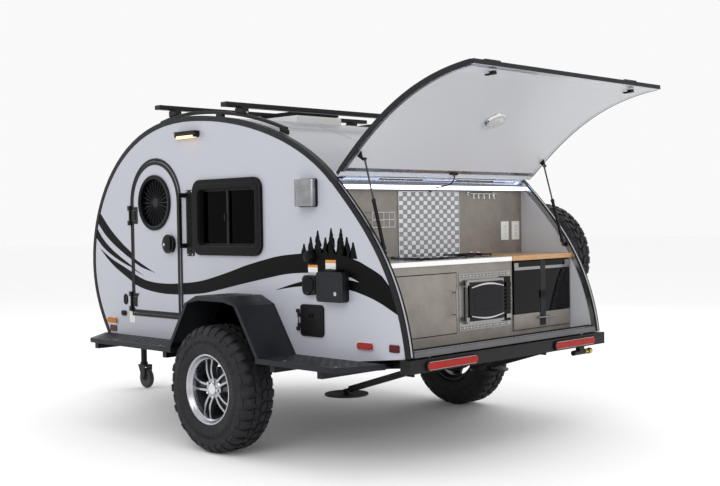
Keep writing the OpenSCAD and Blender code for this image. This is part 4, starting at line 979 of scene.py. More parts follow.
def wheels():
    for name, side in (("left", 1), ("right", -1)):
        wheel("tyre_tread_" + name, "alloy_" + name, "wheel_" + name,
              at(0, side * WHEEL_Y, TYRE_R), side,
              "tyre_" + name, "rim_" + name)
    low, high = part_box("spare_wheel")
    centre = Vector(((low.x + high.x) / 2, low.y + TYRE_W / 2, (low.z + high.z) / 2))
    wheel("spare_tyre", "spare_alloy", "trailer", centre, -1, "spare_wheel")
    bracket = Piece("spare_bracket", "trailer", "frame_black", frame_black, zinc)
    plate = rectangle(centre.x - 0.13, centre.x + 0.13, centre.z - 0.13, centre.z + 0.13)
    bracket.prism(plate, -WALL_OUT, -WALL_OUT - 0.008, 0.003)
    bracket.lathe([(0.0, 0.0), (0.060, 0.0), (0.060, 0.10), (0.085, 0.105), (0.085, 0.125),
                   (0.0, 0.125)],
                  (centre.x, -WALL_OUT - 0.135, centre.z), (0, 1, 0), 48)
    for dx in (-1, 1):
        for dz in (-1, 1):
            bracket.disc((centre.x + dx * 0.105, -WALL_OUT - 0.008, centre.z + dz * 0.105), 0.010,
                         0.007,
                         (0, -1, 0), 6, 1)
            bracket.prism(
                [(centre.x + dx * 0.012, centre.z + dz * 0.050),
                 (centre.x + dx * 0.120, centre.z + dz * 0.118),
                 (centre.x + dx * 0.112, centre.z + dz * 0.126),
                 (centre.x + dx * 0.004, centre.z + dz * 0.060)],
                -WALL_OUT - 0.008, -WALL_OUT - 0.080, 0.001)
    bracket.done()


# ---- body ----
def wall_side(face, *_):
    return 0 if abs(face.calc_center_median().y) > WALL_OUT - 0.001 else 1


def roof_side(face, *_):
    centre = face.calc_center_median()
    if centre.x < AXLE_X - 0.735 and centre.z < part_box("roof_panel")[1].z - 0.40:
        return 2
    inward = Vector((AXLE_X + 0.45, 0, 1.15)) - centre
    return 1 if face.normal.dot(inward) > 0.1 else 0


def hatch_side(face, *_):
    if abs(face.normal.y) > 0.7:
        return 2
    if face.normal.z > 0.35:
        return 0
    return 1 if face.normal.z < -0.2 else 2


def body():
    for name in ("left", "right"):
        soften("side_wall_" + name, 0.0008, panel_white, inner_white, face_pick=wall_side)
    soften("roof_panel", 0.0008, roof_silver, inner_white, aluminium, face_pick=roof_side)
    soften("edge_trims", 0.0010, trim_black)
    soften("floor_panel", 0.001, floor_board)
    soften("galley_bulkhead", 0.001, board)
    trims = Piece("rear_edge_strips", "trailer", "trim_black", aluminium, seal_black, trim_black)
    places = [0.03 + 0.965 * k / 44 for k in range(45)]
    edge = skin_band(3, places)
    trims.strip(*edge, 0.8490, 0.8610, -0.0020, 0.0016, 0)
    trims.strip(*edge, 0.8375, 0.8485, -0.0020, 0.0024, 1)
    trims.strip(*edge, 0.8615, 0.8650, -0.0020, 0.0022, 1)
    trims.strip(*skin_band(3, places, -0.031), WALL_IN - 0.0002, WALL_IN - 0.0030, -0.004, 0.024, 0)
    trims.mirrored()
    trims.done()
    seams = Piece("side_edge_strips", "trailer", "trim_black", seal_black, trim_black)
    points, normals = [], []
    for i in (0, 1, 2):
        found = skin_band(i, [k / 24 for k in range(25)], -0.0315)
        points += found[0]
        normals += found[1]
    seams.strip(points, normals, WALL_OUT, WALL_OUT + 0.0012, -0.0014, 0.0006, 0)
    for i in (0, 1, 2, 3):
        for k in range(8):
            point = skin_point(i, (k + 0.5) / 8, -0.016)[0]
            seams.disc(at(point.x, HALF - 0.0004, point.y), 0.0042, 0.0016, (0, 1, 0), 14, 1)
    seams.mirrored()
    seams.done()
    sill = Piece("rear_sill", "trailer", "alloy", aluminium, seal_black)
    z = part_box("rear_bumper")[1].z
    x = max(AXLE_X - 1.303, AXLE_X + edge_x(z + 0.0445, False) + 0.008)
    y = WALL_IN - 0.002
    sill.box((x - 0.004, -y, z + 0.012), (x + 0.020, y, z + 0.038), 0.002)
    sill.box((x - 0.006, -y, z + 0.0385), (x + 0.018, y, z + 0.0445), 0.002, 1)
    sill.done()


def joint(name):
    return next(j for j in frame["joints"] if j["name"] == name)


HATCH = joint("hatch_hinge")
HATCH_AXIS = Vector(HATCH["pos_m"])
HATCH_TURN = (
    Matrix.Translation(HATCH_AXIS)
    @ Matrix.Rotation(math.radians(-HATCH["range_deg"][0]), 4, "Y")
    @ Matrix.Translation(-HATCH_AXIS)
)
HATCH_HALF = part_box("hatch_panel")[1].y
HATCH_IN, HATCH_OUT = 0.005, 0.030


def hatch():
    soften("hatch_panel", 0.0015, roof_silver, hatch_grey, trim_black, face_pick=hatch_side)
    soften("hatch_fittings", 0.0015, moulded_black, dome_lens, pick=lambda low,
           high: int(high.x - low.x > 0.1
           and high.y - low.y > 0.115 and low.y < 0 < high.y))
    frame_piece = Piece("hatch_frame", "hatch", "hatch_grey", aluminium, seal_black, trim_black)
    edge, low, high = HATCH_HALF, HATCH_IN - 0.0014, HATCH_IN + 0.001
    band = skin_band(3, [0.045 + 0.94 * k / 48 for k in range(49)])
    frame_piece.strip(*band, edge - 0.030, edge - 0.009, low, high, 0)
    frame_piece.strip(*band, edge - 0.0085, edge - 0.0005, HATCH_IN - 0.0018, high, 1)
    frame_piece.strip(*band, edge - 0.012, edge - 0.0005, HATCH_OUT - 0.001, HATCH_OUT + 0.0024, 2)
    frame_piece.mirrored()
    for places in ((0.9690, 0.9760, 0.9830, 0.9900, 0.9970), (0.050, 0.062, 0.074)):
        frame_piece.strip(*skin_band(3, places), 0.010 - edge, edge - 0.010, low, high, 0)
    frame_piece.turned(HATCH_TURN)
    frame_piece.done()
    light = Piece("hatch_dome_light", "hatch", "fittings_black", chrome, dome_lens)
    point, normal = skin_point(3, 0.5, HATCH_IN - 0.0005)
    centre = at(point.x, 0, point.y)
    axis = Vector((-normal.x, 0, -normal.y))
    light.lathe([(0.058, 0.0), (0.070, 0.0), (0.071, 0.006), (0.067, 0.013), (0.062, 0.016),
                 (0.058, 0.014)], centre, axis,
                64, 0, closed=True)
    light.lathe([(0.057, 0.006), (0.056, 0.018), (0.044, 0.0235), (0.024, 0.0260), (0.0, 0.0265)],
                centre, axis, 64, 1)
    light.turned(HATCH_TURN)
    light.done()
    handles = Piece("hatch_handles", "hatch", "fittings_black", moulded_black, chrome)
    for y in (-0.64, 0.64):
        point, normal = skin_point(3, 0.95, HATCH_OUT)
        base = at(point.x, y, point.y)
        out = Vector((normal.x, 0, normal.y))
        along = Vector((out.z, 0, -out.x))
        handles.disc(base + out * 0.002, 0.019, 0.012, out, 28, 1)
        handles.tube([base + out * 0.0140 + Vector((0, -0.064, 0)),
                      base + out * 0.0155 + Vector((0, -0.03, 0)),
                      base + out * 0.0160, base + out * 0.0155 + Vector((0, 0.03, 0)),
                      base + out * 0.0140 + Vector((0, 0.064, 0))],
                      [0.0055, 0.0075, 0.0090, 0.0075, 0.0055], 14, 0)
        inner, _ = skin_point(3, 0.95, HATCH_IN)
        cam = at(inner.x, y, inner.y)
        handles.disc(cam, 0.021, 0.006, -out, 28, 1)
        handles.disc(cam - out * 0.006, 0.008, 0.012, -out, 6, 1)
        handles.tube([cam - out * 0.014, cam - out * 0.015 + along * 0.030,
                      cam - out * 0.011 + along * 0.050],
                     [0.0065, 0.0060, 0.0045], 12, 0)
    handles.turned(HATCH_TURN)
    handles.done()


# ---- doors, windows and fittings ----
def door_side(face, *_):
    return 1 if abs(face.calc_center_median().y) > DOOR_OUT + 0.0004 else 0


def rectangle(x0, x1, z0, z1):
    return [(x0, z0), (x1, z0), (x1, z1), (x0, z1)]


def rounded_outline(x, z, w, h, r, steps=8):
    points = []
    for sx, sz, start in ((1, 1, 0), (-1, 1, 90), (-1, -1, 180), (1, -1, 270)):
        for k in range(steps + 1):
            angle = math.radians(start + 90 * k / steps)
            points.append((x + sx * (w / 2 - r) + r * math.cos(angle),
                           z + sz * (h / 2 - r) + r * math.sin(angle)))
    return points


def ring(piece, outer, inner, y0, y1, mat=0):
    """A flat frame between two outlines with the same number of points."""
    before = set(piece.bm.verts)
    loops = [[piece.bm.verts.new((x, y, z)) for x, z in line]
             for line, y in ((outer, y0), (outer, y1), (inner, y0), (inner, y1))]
    piece.loft([loops[0], loops[1], loops[3], loops[2]], caps=False, closed=True)
    bevel_sharp(piece.bm, set(piece.bm.verts) - before, 0.0015, 2, 60)
    piece._keep(set(piece.bm.verts) - before, mat)


def outer_loop(node, y):
    """The outline, as (x, z), of a node's flat face that lies at |y|."""
    bm = bmesh.new()
    bm.from_mesh(frame["nodes"][node].data)
    bmesh.ops.remove_doubles(bm, verts=bm.verts[:], dist=2e-5)
    flat = {f for f in bm.faces if abs(f.normal.y) > 0.99 and abs(abs(f.calc_center_median().y) - y) < 0.0006}
    rim = {e for f in flat for e in f.edges if sum(g in flat for g in e.link_faces) == 1}
    loops = []
    while rim:
        edge = rim.pop()
        loop = [edge.verts[0], edge.verts[1]]
        while True:
            step = next((e for e in loop[-1].link_edges if e in rim), None)
            if step is None:
                break
            rim.remove(step)
            loop.append(step.other_vert(loop[-1]))
        loops.append([Vector((v.co.x, v.co.z)) for v in loop[:-1]])
    bm.free()
    return max(loops, key=lambda line: max(p.y for p in line) - min(p.y for p in line))


def moved_in(line, step):
    """A closed outline moved inward by step."""
    middle = sum(line, Vector((0, 0))) / len(line)
    moved = []
    for k, point in enumerate(line):
        run_in = (point - line[k - 1]).normalized()
        run_out = (line[(k + 1) % len(line)] - point).normalized()
        normal = Vector((run_in.y + run_out.y, -run_in.x - run_out.x))
        normal.normalize()
        if normal.dot(middle - point) < 0:
            normal.negate()
        stretch = max(0.5, abs(normal.dot(Vector((run_in.y, -run_in.x)))))
        moved.append(point + normal * step / stretch)
    return moved


def doors():
    for name, side in (("left", 1), ("right", -1)):
        soften("door_" + name, 0.0015, panel_white, moulded_black, face_pick=door_side)
        refinish("door_glass_" + name, dark_glass)
        low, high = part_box("door_glass_" + name)
        centre = Vector(((low.x + high.x) / 2, side * DOOR_OUT, (low.z + high.z) / 2))
        radius = (high.x - low.x) / 2
        detail = Piece("porthole_" + name, "side_door_" + name, "frame_trim", moulded_black,
                       gloss_black, chrome, powder_black)
        profile = [(radius - 0.014, -0.012), (radius - 0.002, -0.012), (radius + 0.014, 0.010),
                   (radius + 0.012, 0.0125),
                   (radius + 0.002, 0.0135), (radius - 0.010, 0.010), (radius - 0.014, 0.004)]
        detail.lathe([(a, side * b) for a, b in profile], centre, (0, 1, 0), 96, 1, closed=True)
        pane = high.y if side > 0 else low.y
        face = Vector((centre.x, pane + side * 0.0012, centre.z))
        for k in range(24):
            angle = math.tau * k / 24
            way = Vector((math.cos(angle), 0, math.sin(angle)))
            detail.tube([face + way * 0.024, face + way * 0.090 + Vector((0, side * 0.0008, 0)),
                         face + way * (radius - 0.010)], [0.0026, 0.0022, 0.0032], 8, 3)
        detail.disc(face - Vector((0, side * 0.001, 0)), 0.030, 0.005, (0, side, 0), 40, 3)
        for k in range(12):
            angle = math.tau * (k + 0.5) / 12
            detail.disc(centre + Vector(((radius + 0.007) * math.cos(angle), side * 0.0105,
                                         (radius + 0.007) * math.sin(angle))),
                        0.0030, 0.0018, (0, side, 0), 12, 2)
        latch = centre + Vector((-0.172, side * 0.022, -0.268))
        outline = rounded_outline(latch.x, latch.z, 0.122, 0.122, 0.058)
        detail.prism(outline, side * (DOOR_OUT + 0.0215), side * (DOOR_OUT + 0.0255), 0.0015, 0)
        paddle = rounded_outline(latch.x - 0.012, latch.z + 0.004, 0.056, 0.088, 0.020)
        detail.prism(paddle, side * (DOOR_OUT + 0.025), side * (DOOR_OUT + 0.034), 0.003, 1)
        detail.disc((latch.x + 0.036, side * (DOOR_OUT + 0.0255), latch.z - 0.004), 0.0095, 0.004,
                    (0, side, 0), 24, 2)
        rim = outer_loop("door_" + name, DOOR_OUT)
        ring(detail, moved_in(rim, 0.0016), moved_in(rim, 0.0240), side * (DOOR_OUT - 0.0010),
             side * (DOOR_OUT + 0.0024), 0)
        detail.done()


def windows():
    soften("opening_frames", 0.0028, gloss_black, moulded_black, segments=3,
           pick=lambda low, high: 1 if high.x > AXLE_X + 0.6 else 0)
    refinish("window_panes", dark_glass)
    low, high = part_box("window_panes")
    x, z = (low.x + high.x) / 2, (low.z + high.z) / 2
    w, h = high.x - low.x, high.z - low.z
    detail = Piece("window_details", "trailer", "frame_trim", gloss_black, seal_black, chrome,
                   moulded_black)
    front = WALL_OUT + 0.018
    ring(detail, rounded_outline(x, z, w + 0.060, h + 0.060, 0.052),
         rounded_outline(x, z, w + 0.006, h + 0.006, 0.038),
         front - 0.004, front + 0.0016, 0)
    ring(detail, rounded_outline(x, z, w + 0.002, h + 0.002, 0.036),
         rounded_outline(x, z, w - 0.014, h - 0.014, 0.030),
         WALL_IN + 0.004, front - 0.006, 1)
    slide = x + 0.012
    detail.box((slide - 0.011, WALL_IN + 0.006, z - h / 2),
               (slide + 0.011, WALL_IN + 0.018, z + h / 2), 0.002, 3)
    detail.box((x - w / 2, WALL_IN + 0.006, z + h / 2 - 0.016),
               (x + w / 2, WALL_IN + 0.016, z + h / 2 + 0.002), 0.002, 3)
    detail.box((x - w / 2, WALL_IN + 0.006, z - h / 2 - 0.002),
               (x + w / 2, WALL_IN + 0.020, z - h / 2 + 0.014), 0.002, 3)
    detail.box((slide + 0.014, WALL_IN + 0.018, z - 0.020),
               (slide + 0.026, WALL_IN + 0.027, z + 0.020), 0.003, 3)
    detail.mirrored()
    detail.done()


def cowl_side(face, low, high):
    cowl = high.y > WALL_OUT + 0.070 and low.z > 1.38 and high.x < AXLE_X - 0.4
    return int(cowl and face.calc_center_median().y > WALL_OUT + 0.0125)


def fittings():
    soften("wall_fittings", 0.0016, moulded_black, cowl_metal, face_pick=cowl_side)
    soften("service_door", 0.0010, moulded_black)
    soften("power_box_lid", 0.0035, powder_black, segments=3)
    detail = Piece("wall_details", "trailer", "fittings_black", moulded_black, chrome, warm_lens,
                   gloss_black, seal_black)
    y = WALL_OUT
    z_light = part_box("wall_fittings")[1].z - 0.019
    for side in (1, -1):
        light = [(AXLE_X + 0.550 + dx, z_light + dz) for dx,
                 dz in ((-0.092, -0.0215), (0.092, -0.0215), (0.086, -0.006), (-0.086, -0.006))]
        detail.prism(light, side * (y + 0.010), side * (y + 0.0405), 0.003, 2)
        hood = [(AXLE_X + 0.550 + dx, z_light + dz) for dx,
                dz in ((-0.112, 0.016), (0.112, 0.016), (0.106, 0.0215), (-0.106, 0.0215))]
        detail.prism(hood, side * y, side * (y + 0.046), 0.002, 0)
        for k in range(11):
            z = 1.152 + k * 0.0352
            slot = rounded_outline(AXLE_X + 0.554, z, 0.030, 0.0150, 0.0072, 5)
            detail.prism(slot, side * (y + 0.0048), side * (y + 0.0058), 0.0, 4)
            edge = rounded_outline(AXLE_X + 0.554, z, 0.0330, 0.0180, 0.0086, 5)
            ring(detail, edge, slot, side * (y + 0.0050), side * (y + 0.0068), 0)
        for dx, dz in ((-0.024, 0.198), (0.024, 0.198), (-0.024, -0.198), (0.024, -0.198)):
            detail.disc(at(0.554 + dx, side * (y + 0.005), 1.328 + dz), 0.0050, 0.0022,
                        (0, side, 0), 14, 1)
    x, z = AXLE_X - 0.567, UNDER_Z + 0.565
    detail.lathe([(0.0, 0.0), (0.030, 0.0), (0.034, 0.004), (0.030, 0.012), (0.012, 0.016),
                  (0.0, 0.016)],
                 (x, y + 0.019, z), (0, 1, 0), 48, 3)
    inlet = rounded_outline(AXLE_X - 0.575, UNDER_Z + 0.412, 0.088, 0.088, 0.040)
    detail.prism(inlet, y + 0.027, y + 0.0335, 0.003, 3)
    detail.box((AXLE_X - 0.590, y + 0.028, UNDER_Z + 0.352),
               (AXLE_X - 0.560, y + 0.036, UNDER_Z + 0.372), 0.003, 0)
    for k in range(5):
        louvre = 1.425 + 0.012 * k
        detail.tube([at(-0.559 + 0.058 * math.cos(a), y + 0.014 + 0.060 * math.sin(a),
                        louvre) for a in
                     [math.radians(20 + 14 * s) for s in range(11)]], 0.0022, 8, 1)
    back = rounded_outline(AXLE_X - 0.559, UNDER_Z + 0.921, 0.140, 0.148, 0.012)
    detail.prism(back, y + 0.011, y + 0.0135, 0.001, 4)
    badge = rounded_outline(AXLE_X + 1.310, UNDER_Z + 0.252, 0.045, 0.064, 0.022)
    detail.prism(badge, y + 0.0028, y + 0.0048, 0.001, 3)
    plug = rounded_outline(AXLE_X + 1.331, 0.722, 0.058, 0.036, 0.016)
    detail.prism(plug, y, y + 0.010, 0.002, 0)
    detail.box((AXLE_X + 1.312, y + 0.008, 0.716), (AXLE_X + 1.350, y + 0.016, 0.728), 0.002, 3)
    detail.done()
    lids = Piece("power_box_lock", "power_box_lid", "fittings_black", chrome, moulded_black)
    low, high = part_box("power_box_lid")
    middle = Vector(((low.x + high.x) / 2, high.y, (low.z + high.z) / 2 - 0.02))
    lids.disc(middle + Vector((-0.048, -0.0008, -0.022)), 0.011, 0.004, (0, 1, 0), 28, 0)
    lids.box(middle + Vector((-0.0495, 0.0028, -0.029)),
             middle + Vector((-0.0465, 0.0036, -0.015)), 0.0, 1)
    outline = rounded_outline(middle.x, middle.z + 0.009, 0.172, 0.128, 0.014)
    inner = rounded_outline(middle.x, middle.z + 0.009, 0.166, 0.122, 0.012)
    ring(lids, outline, inner, high.y - 0.0006, high.y + 0.0004, 1)
    lids.done()
    latch = Piece("service_latch", "service_door", "fittings_black", gloss_black, moulded_black)
    low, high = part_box("service_door")
    x, z = (low.x + high.x) / 2 - 0.008, (low.z + high.z) / 2
    latch.disc((x - 0.002, high.y - 0.0018, z + 0.030), 0.012, 0.003, (0, 1, 0), 28, 0)
    outline = rounded_outline(x - 0.002, z, 0.156, 0.146, 0.020)
    inner = rounded_outline(x - 0.002, z, 0.150, 0.140, 0.018)
    ring(latch, outline, inner, high.y - 0.0022, high.y - 0.0012, 1)
    latch.done()
    labels = Piece("blank_labels", "trailer", "body_white", sticker_white, sticker_orange,
                   ink_black)
    for x, z, w, h, bar in ((-0.584, 1.064, 0.078, 0.043, True),
                            (-0.729, 1.088, 0.082, 0.054, True),
                            (-0.816, 1.084, 0.084, 0.046, False),
                            (1.235, 0.700, 0.060, 0.075, False)):
        spot = rectangle(x - w / 2, x + w / 2, z - h / 2, z + h / 2)
        add_decal(labels, spot, y + 0.0006, 1, mat=0 if bar or x > 0 else 2, thick=0.0003)
        if bar:
            band = rectangle(x - w / 2, x + w / 2, z + 0.18 * h, z + h / 2)
            add_decal(labels, band, y + 0.0009, 1, mat=1, thick=0.0003)
    labels.done()


def lamp_kind(low, high):
    if high.x < AXLE_X - 1.3:
        return 0
    if low.x > AXLE_X + 1.0:
        return 1 if high.z > 0.64 else 2
    return 2 if high.x < AXLE_X - 1.15 else 0


def lamps():
    soften("lamps", 0.002, red_lens, amber_lens, red_reflector, pick=lamp_kind)
    bezels = Piece("lamp_bezels", "trailer", "steel", chrome, moulded_black, red_lens)
    low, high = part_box("rear_bumper")
    z = high.z - 0.038
    for side in (1, -1):
        before = set(bezels.bm.verts)
        outer = rounded_outline(side * 0.565, z, 0.424, 0.054, 0.026)
        middle = rounded_outline(side * 0.565, z, 0.4060, 0.0430, 0.0210)
        inner = rounded_outline(side * 0.565, z, 0.4010, 0.0380, 0.0185)
        ring(bezels, outer, middle, low.x - 0.0125, low.x, 1)
        ring(bezels, middle, inner, low.x - 0.0120, low.x, 0)
        centre = rounded_outline(side * 0.565, z, 0.150, 0.032, 0.0155)
        ring(bezels, rounded_outline(side * 0.565, z, 0.154, 0.036, 0.0175), centre,
             low.x - 0.0135, low.x - 0.011, 2)
        bmesh.ops.reverse_faces(bezels.bm, faces=bezels.swapped(before))
    for x, z, w, h in ((-0.990, UNDER_Z + 0.097, 0.113, 0.038),
                       (1.476, UNDER_Z + 0.101, 0.115, 0.040)):
        for side in (1, -1):
            ring(bezels, rounded_outline(AXLE_X + x, z, w + 0.010, h + 0.010, 0.022),
                 rounded_outline(AXLE_X + x, z, w - 0.008, h - 0.008, 0.0145), side * WALL_OUT,
                 side * (WALL_OUT + 0.0060), 0)
    bezels.done()


# ---- galley ----
CAB_X = AXLE_X - 1.110
BACK_X = AXLE_X - 0.735
TOP_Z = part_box("white_worktop")[1].z


def door_front(face, *_):
    return 1 if face.calc_center_median().x < CAB_X - 0.0016 else 0


def tray_front(face, *_):
    return 1 if face.calc_center_median().x < CAB_X - 0.0090 else 0


def hob_kind(face, *_):
    centre = face.calc_center_median()
    hob_y = -0.050
    for x in (-0.850, -0.905):
        if math.hypot(centre.x - AXLE_X - x,
                      centre.y - hob_y + 0.133) < 0.0175 and centre.z > TOP_Z + 0.002:
            return 2
    if centre.y < 0.13 and centre.z > TOP_Z + 0.0045:
        return 1
    return 0


def microwave_kind(face, *_):
    centre = face.calc_center_median()
    return 1 if centre.x < CAB_X - 0.0045 and centre.y < -0.12 else 0


def galley():
    soften("galley_cabinet", 0.0008, board)
    soften("cupboard_door", 0.0012, board, steel, face_pick=door_front)
    soften("white_worktop", 0.0035, worktop_white, segments=3)
    soften("wood_worktop", 0.0030, wood, segments=3)
    soften("hob_and_sink", 0.0009, steel, frame_black, knob_red, face_pick=hob_kind)
    soften("microwave", 0.0010, steel, gloss_black, face_pick=microwave_kind)
    soften("microwave_door", 0.0018, steel)
    soften("fridge", 0.0030, gloss_black)
    soften("fridge_tray", 0.0012, board, steel, face_pick=tray_front)
    soften("sink_lid", 0.0015, smoked_glass)
    wall = Piece("galley_wall_details", "trailer", "steel", grout, tile_white, tile_grey, chrome,
                 moulded_black, led_lens,
                 sticker_white, seal_black)
    columns, rows = 15, 15
    left, right, low, high = 0.333, -0.200, TOP_Z, 1.490
    wide, tall = (left - right) / columns, (high - low) / rows
    wall.box((BACK_X - 0.0030, right, low + 0.0004), (BACK_X, left, high), 0.0)
    for i in range(columns):
        for j in range(rows):
            wall.box((BACK_X - 0.0062, right + i * wide + 0.0010, low + j * tall + 0.0010),
                     (BACK_X - 0.0028, right + (i + 1) * wide - 0.0010,
                      low + (j + 1) * tall - 0.0010), 0.0008,
                     1 + (i + j) % 2, segments=1)
    wall.box((BACK_X - 0.0075, right - 0.004, high), (BACK_X, left + 0.004, high + 0.005), 0.001, 3)
    wall.box((BACK_X - 0.0075, left, low), (BACK_X, left + 0.005, high), 0.001, 3)
    wall.box((BACK_X - 0.0075, right - 0.005, low), (BACK_X, right, high), 0.001, 3)
    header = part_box("galley_bulkhead")[1].z
    lip_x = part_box("galley_bulkhead")[0].x
    lip = [v.co.z for v in frame["nodes"]["galley_bulkhead"].data.vertices if abs(v.co.x - lip_x) < 0.001]
    lip_low = min(z for z in lip if z > 1.4)
    wall.box((lip_x - 0.0075, -WALL_IN + 0.006, lip_low + 0.001),
             (lip_x + 0.001, WALL_IN - 0.006, lip_low + 0.005), 0.001, 3)
    wall.box((lip_x - 0.0070, -WALL_IN + 0.008, lip_low + 0.005),
             (lip_x + 0.001, WALL_IN - 0.008, lip_low + 0.027), 0.003, 5)
    wall.box((BACK_X - 0.026, -WALL_IN + 0.002, header - 0.0040),
             (BACK_X + 0.001, WALL_IN - 0.002, header + 0.0020), 0.001, 7)
    for y in (-0.6625, -0.7745):
        wall.box((BACK_X - 0.006, y - 0.039, 1.186), (BACK_X, y + 0.039, 1.306), 0.002, 6)
        for z in (1.222, 1.270):
            wall.box((BACK_X - 0.0085, y - 0.017, z - 0.019),
                     (BACK_X - 0.005, y + 0.017, z + 0.019), 0.002, 6)
            for dy in (-0.0065, 0.0065):
                wall.box((BACK_X - 0.0089, y + dy - 0.001, z - 0.001),
                         (BACK_X - 0.008, y + dy + 0.001, z + 0.010), 0.0, 4)
            wall.disc((BACK_X - 0.0084, y, z - 0.010), 0.0026, 0.0005, (-1, 0, 0), 12, 4)
        wall.disc((BACK_X - 0.0058, y, 1.246), 0.0030, 0.0010, (-1, 0, 0), 12, 3)
    wall.tube([(BACK_X - 0.020, -0.560, 1.482), (BACK_X - 0.020, -0.290, 1.482)], 0.0052, 14, 3)
    for y in (-0.550, -0.300):
        wall.disc((BACK_X, y, 1.482), 0.013, 0.004, (-1, 0, 0), 24, 3)
        wall.tube([(BACK_X, y, 1.482), (BACK_X - 0.020, y, 1.482)], 0.0045, 12, 3)
    for y in (-0.525, -0.478, -0.425, -0.372, -0.325):
        wall.tube([(BACK_X - 0.020, y, 1.4885), (BACK_X - 0.0265, y, 1.484),
                   (BACK_X - 0.0265, y, 1.460),
                   (BACK_X - 0.031, y, 1.446), (BACK_X - 0.041, y, 1.444),
                   (BACK_X - 0.047, y, 1.455)], 0.0019, 8, 3)
    for z in (1.288, 1.330, 1.372):
        wall.tube([(BACK_X - 0.002, 0.424, z), (BACK_X - 0.058, 0.424, z),
                   (BACK_X - 0.058, 0.606, z), (BACK_X - 0.002, 0.606, z)],
                  0.0026, 8, 3)
    for k in range(5):
        y = 0.424 + 0.0455 * k
        wall.tube([(BACK_X - 0.002, y, 1.288), (BACK_X - 0.058, y, 1.288),
                   (BACK_X - 0.058, y, 1.372)], 0.0018, 8, 3)
    lamp_base = Vector((BACK_X, 0.060, 1.512))
    wall.disc(lamp_base, 0.022, 0.012, (-1, 0, 0), 32, 4)
    neck = smooth_line([lamp_base + Vector((-0.008, 0, 0)),
                        lamp_base + Vector((-0.045, -0.02, 0.004)),
                        lamp_base + Vector((-0.075, -0.10, 0.022)),
                        lamp_base + Vector((-0.085, -0.13, 0.055)),
                        lamp_base + Vector((-0.085, -0.13, 0.082))], 6)
    wall.tube(neck, 0.0042, 12, 4)
    head = lamp_base + Vector((-0.085, -0.125, 0.090))
    wall.lathe([(0.0, -0.036), (0.009, -0.036), (0.0125, -0.026), (0.0140, 0.030), (0.011, 0.036),
                (0.0, 0.036)], head,
               Vector((0, 1, 0.08)), 28, 4)
    wall.done(angle=40)
    oven_low, oven_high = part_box("microwave_door")
    oven = Piece("oven_front", "microwave_door", "steel", oven_glass, chrome, seal_black)
    x = oven_low.x
    y0, y1, z0, z1 = oven_low.y + 0.012, oven_high.y - 0.022, oven_low.z + 0.014, oven_high.z - 0.014
    glass = rounded_outline((y0 + y1) / 2, (z0 + z1) / 2, y1 - y0, z1 - z0, 0.012)
    before = set(oven.bm.verts)
    oven.prism(glass, x - 0.0008, x + 0.002, 0.0005, 0)
    bmesh.ops.reverse_faces(oven.bm, faces=oven.swapped(before))
    for way, z in ((1, z1 - 0.030), (-1, z0 + 0.030)):
        arc = [(x - 0.006, y0 + 0.010 + (y1 - y0 - 0.020) * k / 16,
                z + way * 0.018 * math.sin(math.pi * k / 16))
               for k in range(17)]
        oven.tube(arc, [0.0035 + 0.0035 * math.sin(math.pi * k / 16) for k in range(17)], 12, 1)
    window = rounded_outline((y0 + y1) / 2, (z0 + z1) / 2, (y1 - y0) * 0.74, (z1 - z0) * 0.44,
                             0.010)
    window_in = rounded_outline((y0 + y1) / 2, (z0 + z1) / 2, (y1 - y0) * 0.74 - 0.004,
                                (z1 - z0) * 0.44 - 0.004, 0.008)
    before = set(oven.bm.verts)
    ring(oven, window, window_in, x - 0.0014, x - 0.0006, 2)
    oven.swapped(before)
    oven.done()
    kit = Piece("oven_trim_details", "trailer", "steel", seal_black, moulded_black, steel, chrome)
    micro_low, micro_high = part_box("microwave")
    face_x = AXLE_X - 1.114
    for z in (micro_low.z + 0.018, micro_high.z - 0.018):
        for k in range(8):
            kit.disc((face_x, -0.200 + k * 0.058, z), 0.0036, 0.0014, (-1, 0, 0), 12, 3)
        for k in range(14):
            y = -0.190 + k * 0.031
            kit.box((face_x - 0.0004, y, z - 0.0070), (face_x + 0.0006, y + 0.020, z - 0.0045),
                    0.0, 0)
            kit.box((face_x - 0.0004, y, z + 0.0045), (face_x + 0.0006, y + 0.020, z + 0.0070),
                    0.0, 0)
    keypad_y = -0.1655
    pad_x = micro_low.x
    kit.box((pad_x - 0.0010, keypad_y - 0.022, 0.925), (pad_x + 0.001, keypad_y + 0.022, 0.952),
            0.0006, 0)
    for row in range(6):
        for column in range(3):
            y, z = keypad_y + (column - 1) * 0.0150, 0.905 - row * 0.0215
            kit.box((pad_x - 0.0012, y - 0.0055, z - 0.0068),
                    (pad_x + 0.001, y + 0.0055, z + 0.0068), 0.0006, 1)
    kit.box((pad_x - 0.0020, keypad_y - 0.022, 0.744), (pad_x + 0.001, keypad_y + 0.022, 0.768),
            0.001, 2)
    kit.done()
    cold = Piece("fridge_details", "fridge_slide", "fridge_black", alloy_dark_and_painted_shade, steel, seal_black,
                 strap_black, gloss_black)
    low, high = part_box("fridge")
    x = low.x
    cold.box((x - 0.0014, low.y + 0.004, high.z - 0.052),
             (x + 0.002, high.y - 0.004, high.z - 0.034), 0.0008, 1)
    cold.box((x - 0.0022, low.y + 0.002, high.z - 0.046),
             (x + 0.002, low.y + 0.052, high.z - 0.004), 0.0015, 1)
    cold.box((x - 0.0022, high.y - 0.042, high.z - 0.034),
             (x + 0.002, high.y - 0.002, high.z - 0.008), 0.0015, 1)
    cold.box((x - 0.0010, low.y + 0.002, high.z - 0.0605),
             (x + 0.002, high.y - 0.002, high.z - 0.0575), 0.0, 2)
    for column in range(7):
        for row in range(16):
            cold.disc((x, low.y + 0.040 + column * 0.0135, low.z + 0.030 + row * 0.0125), 0.0036,
                      0.0006, (-1, 0, 0), 8, 2)
    middle = (low.y + high.y) / 2
    tray_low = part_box("fridge_tray")[0]
    strap_x = x - 0.0024
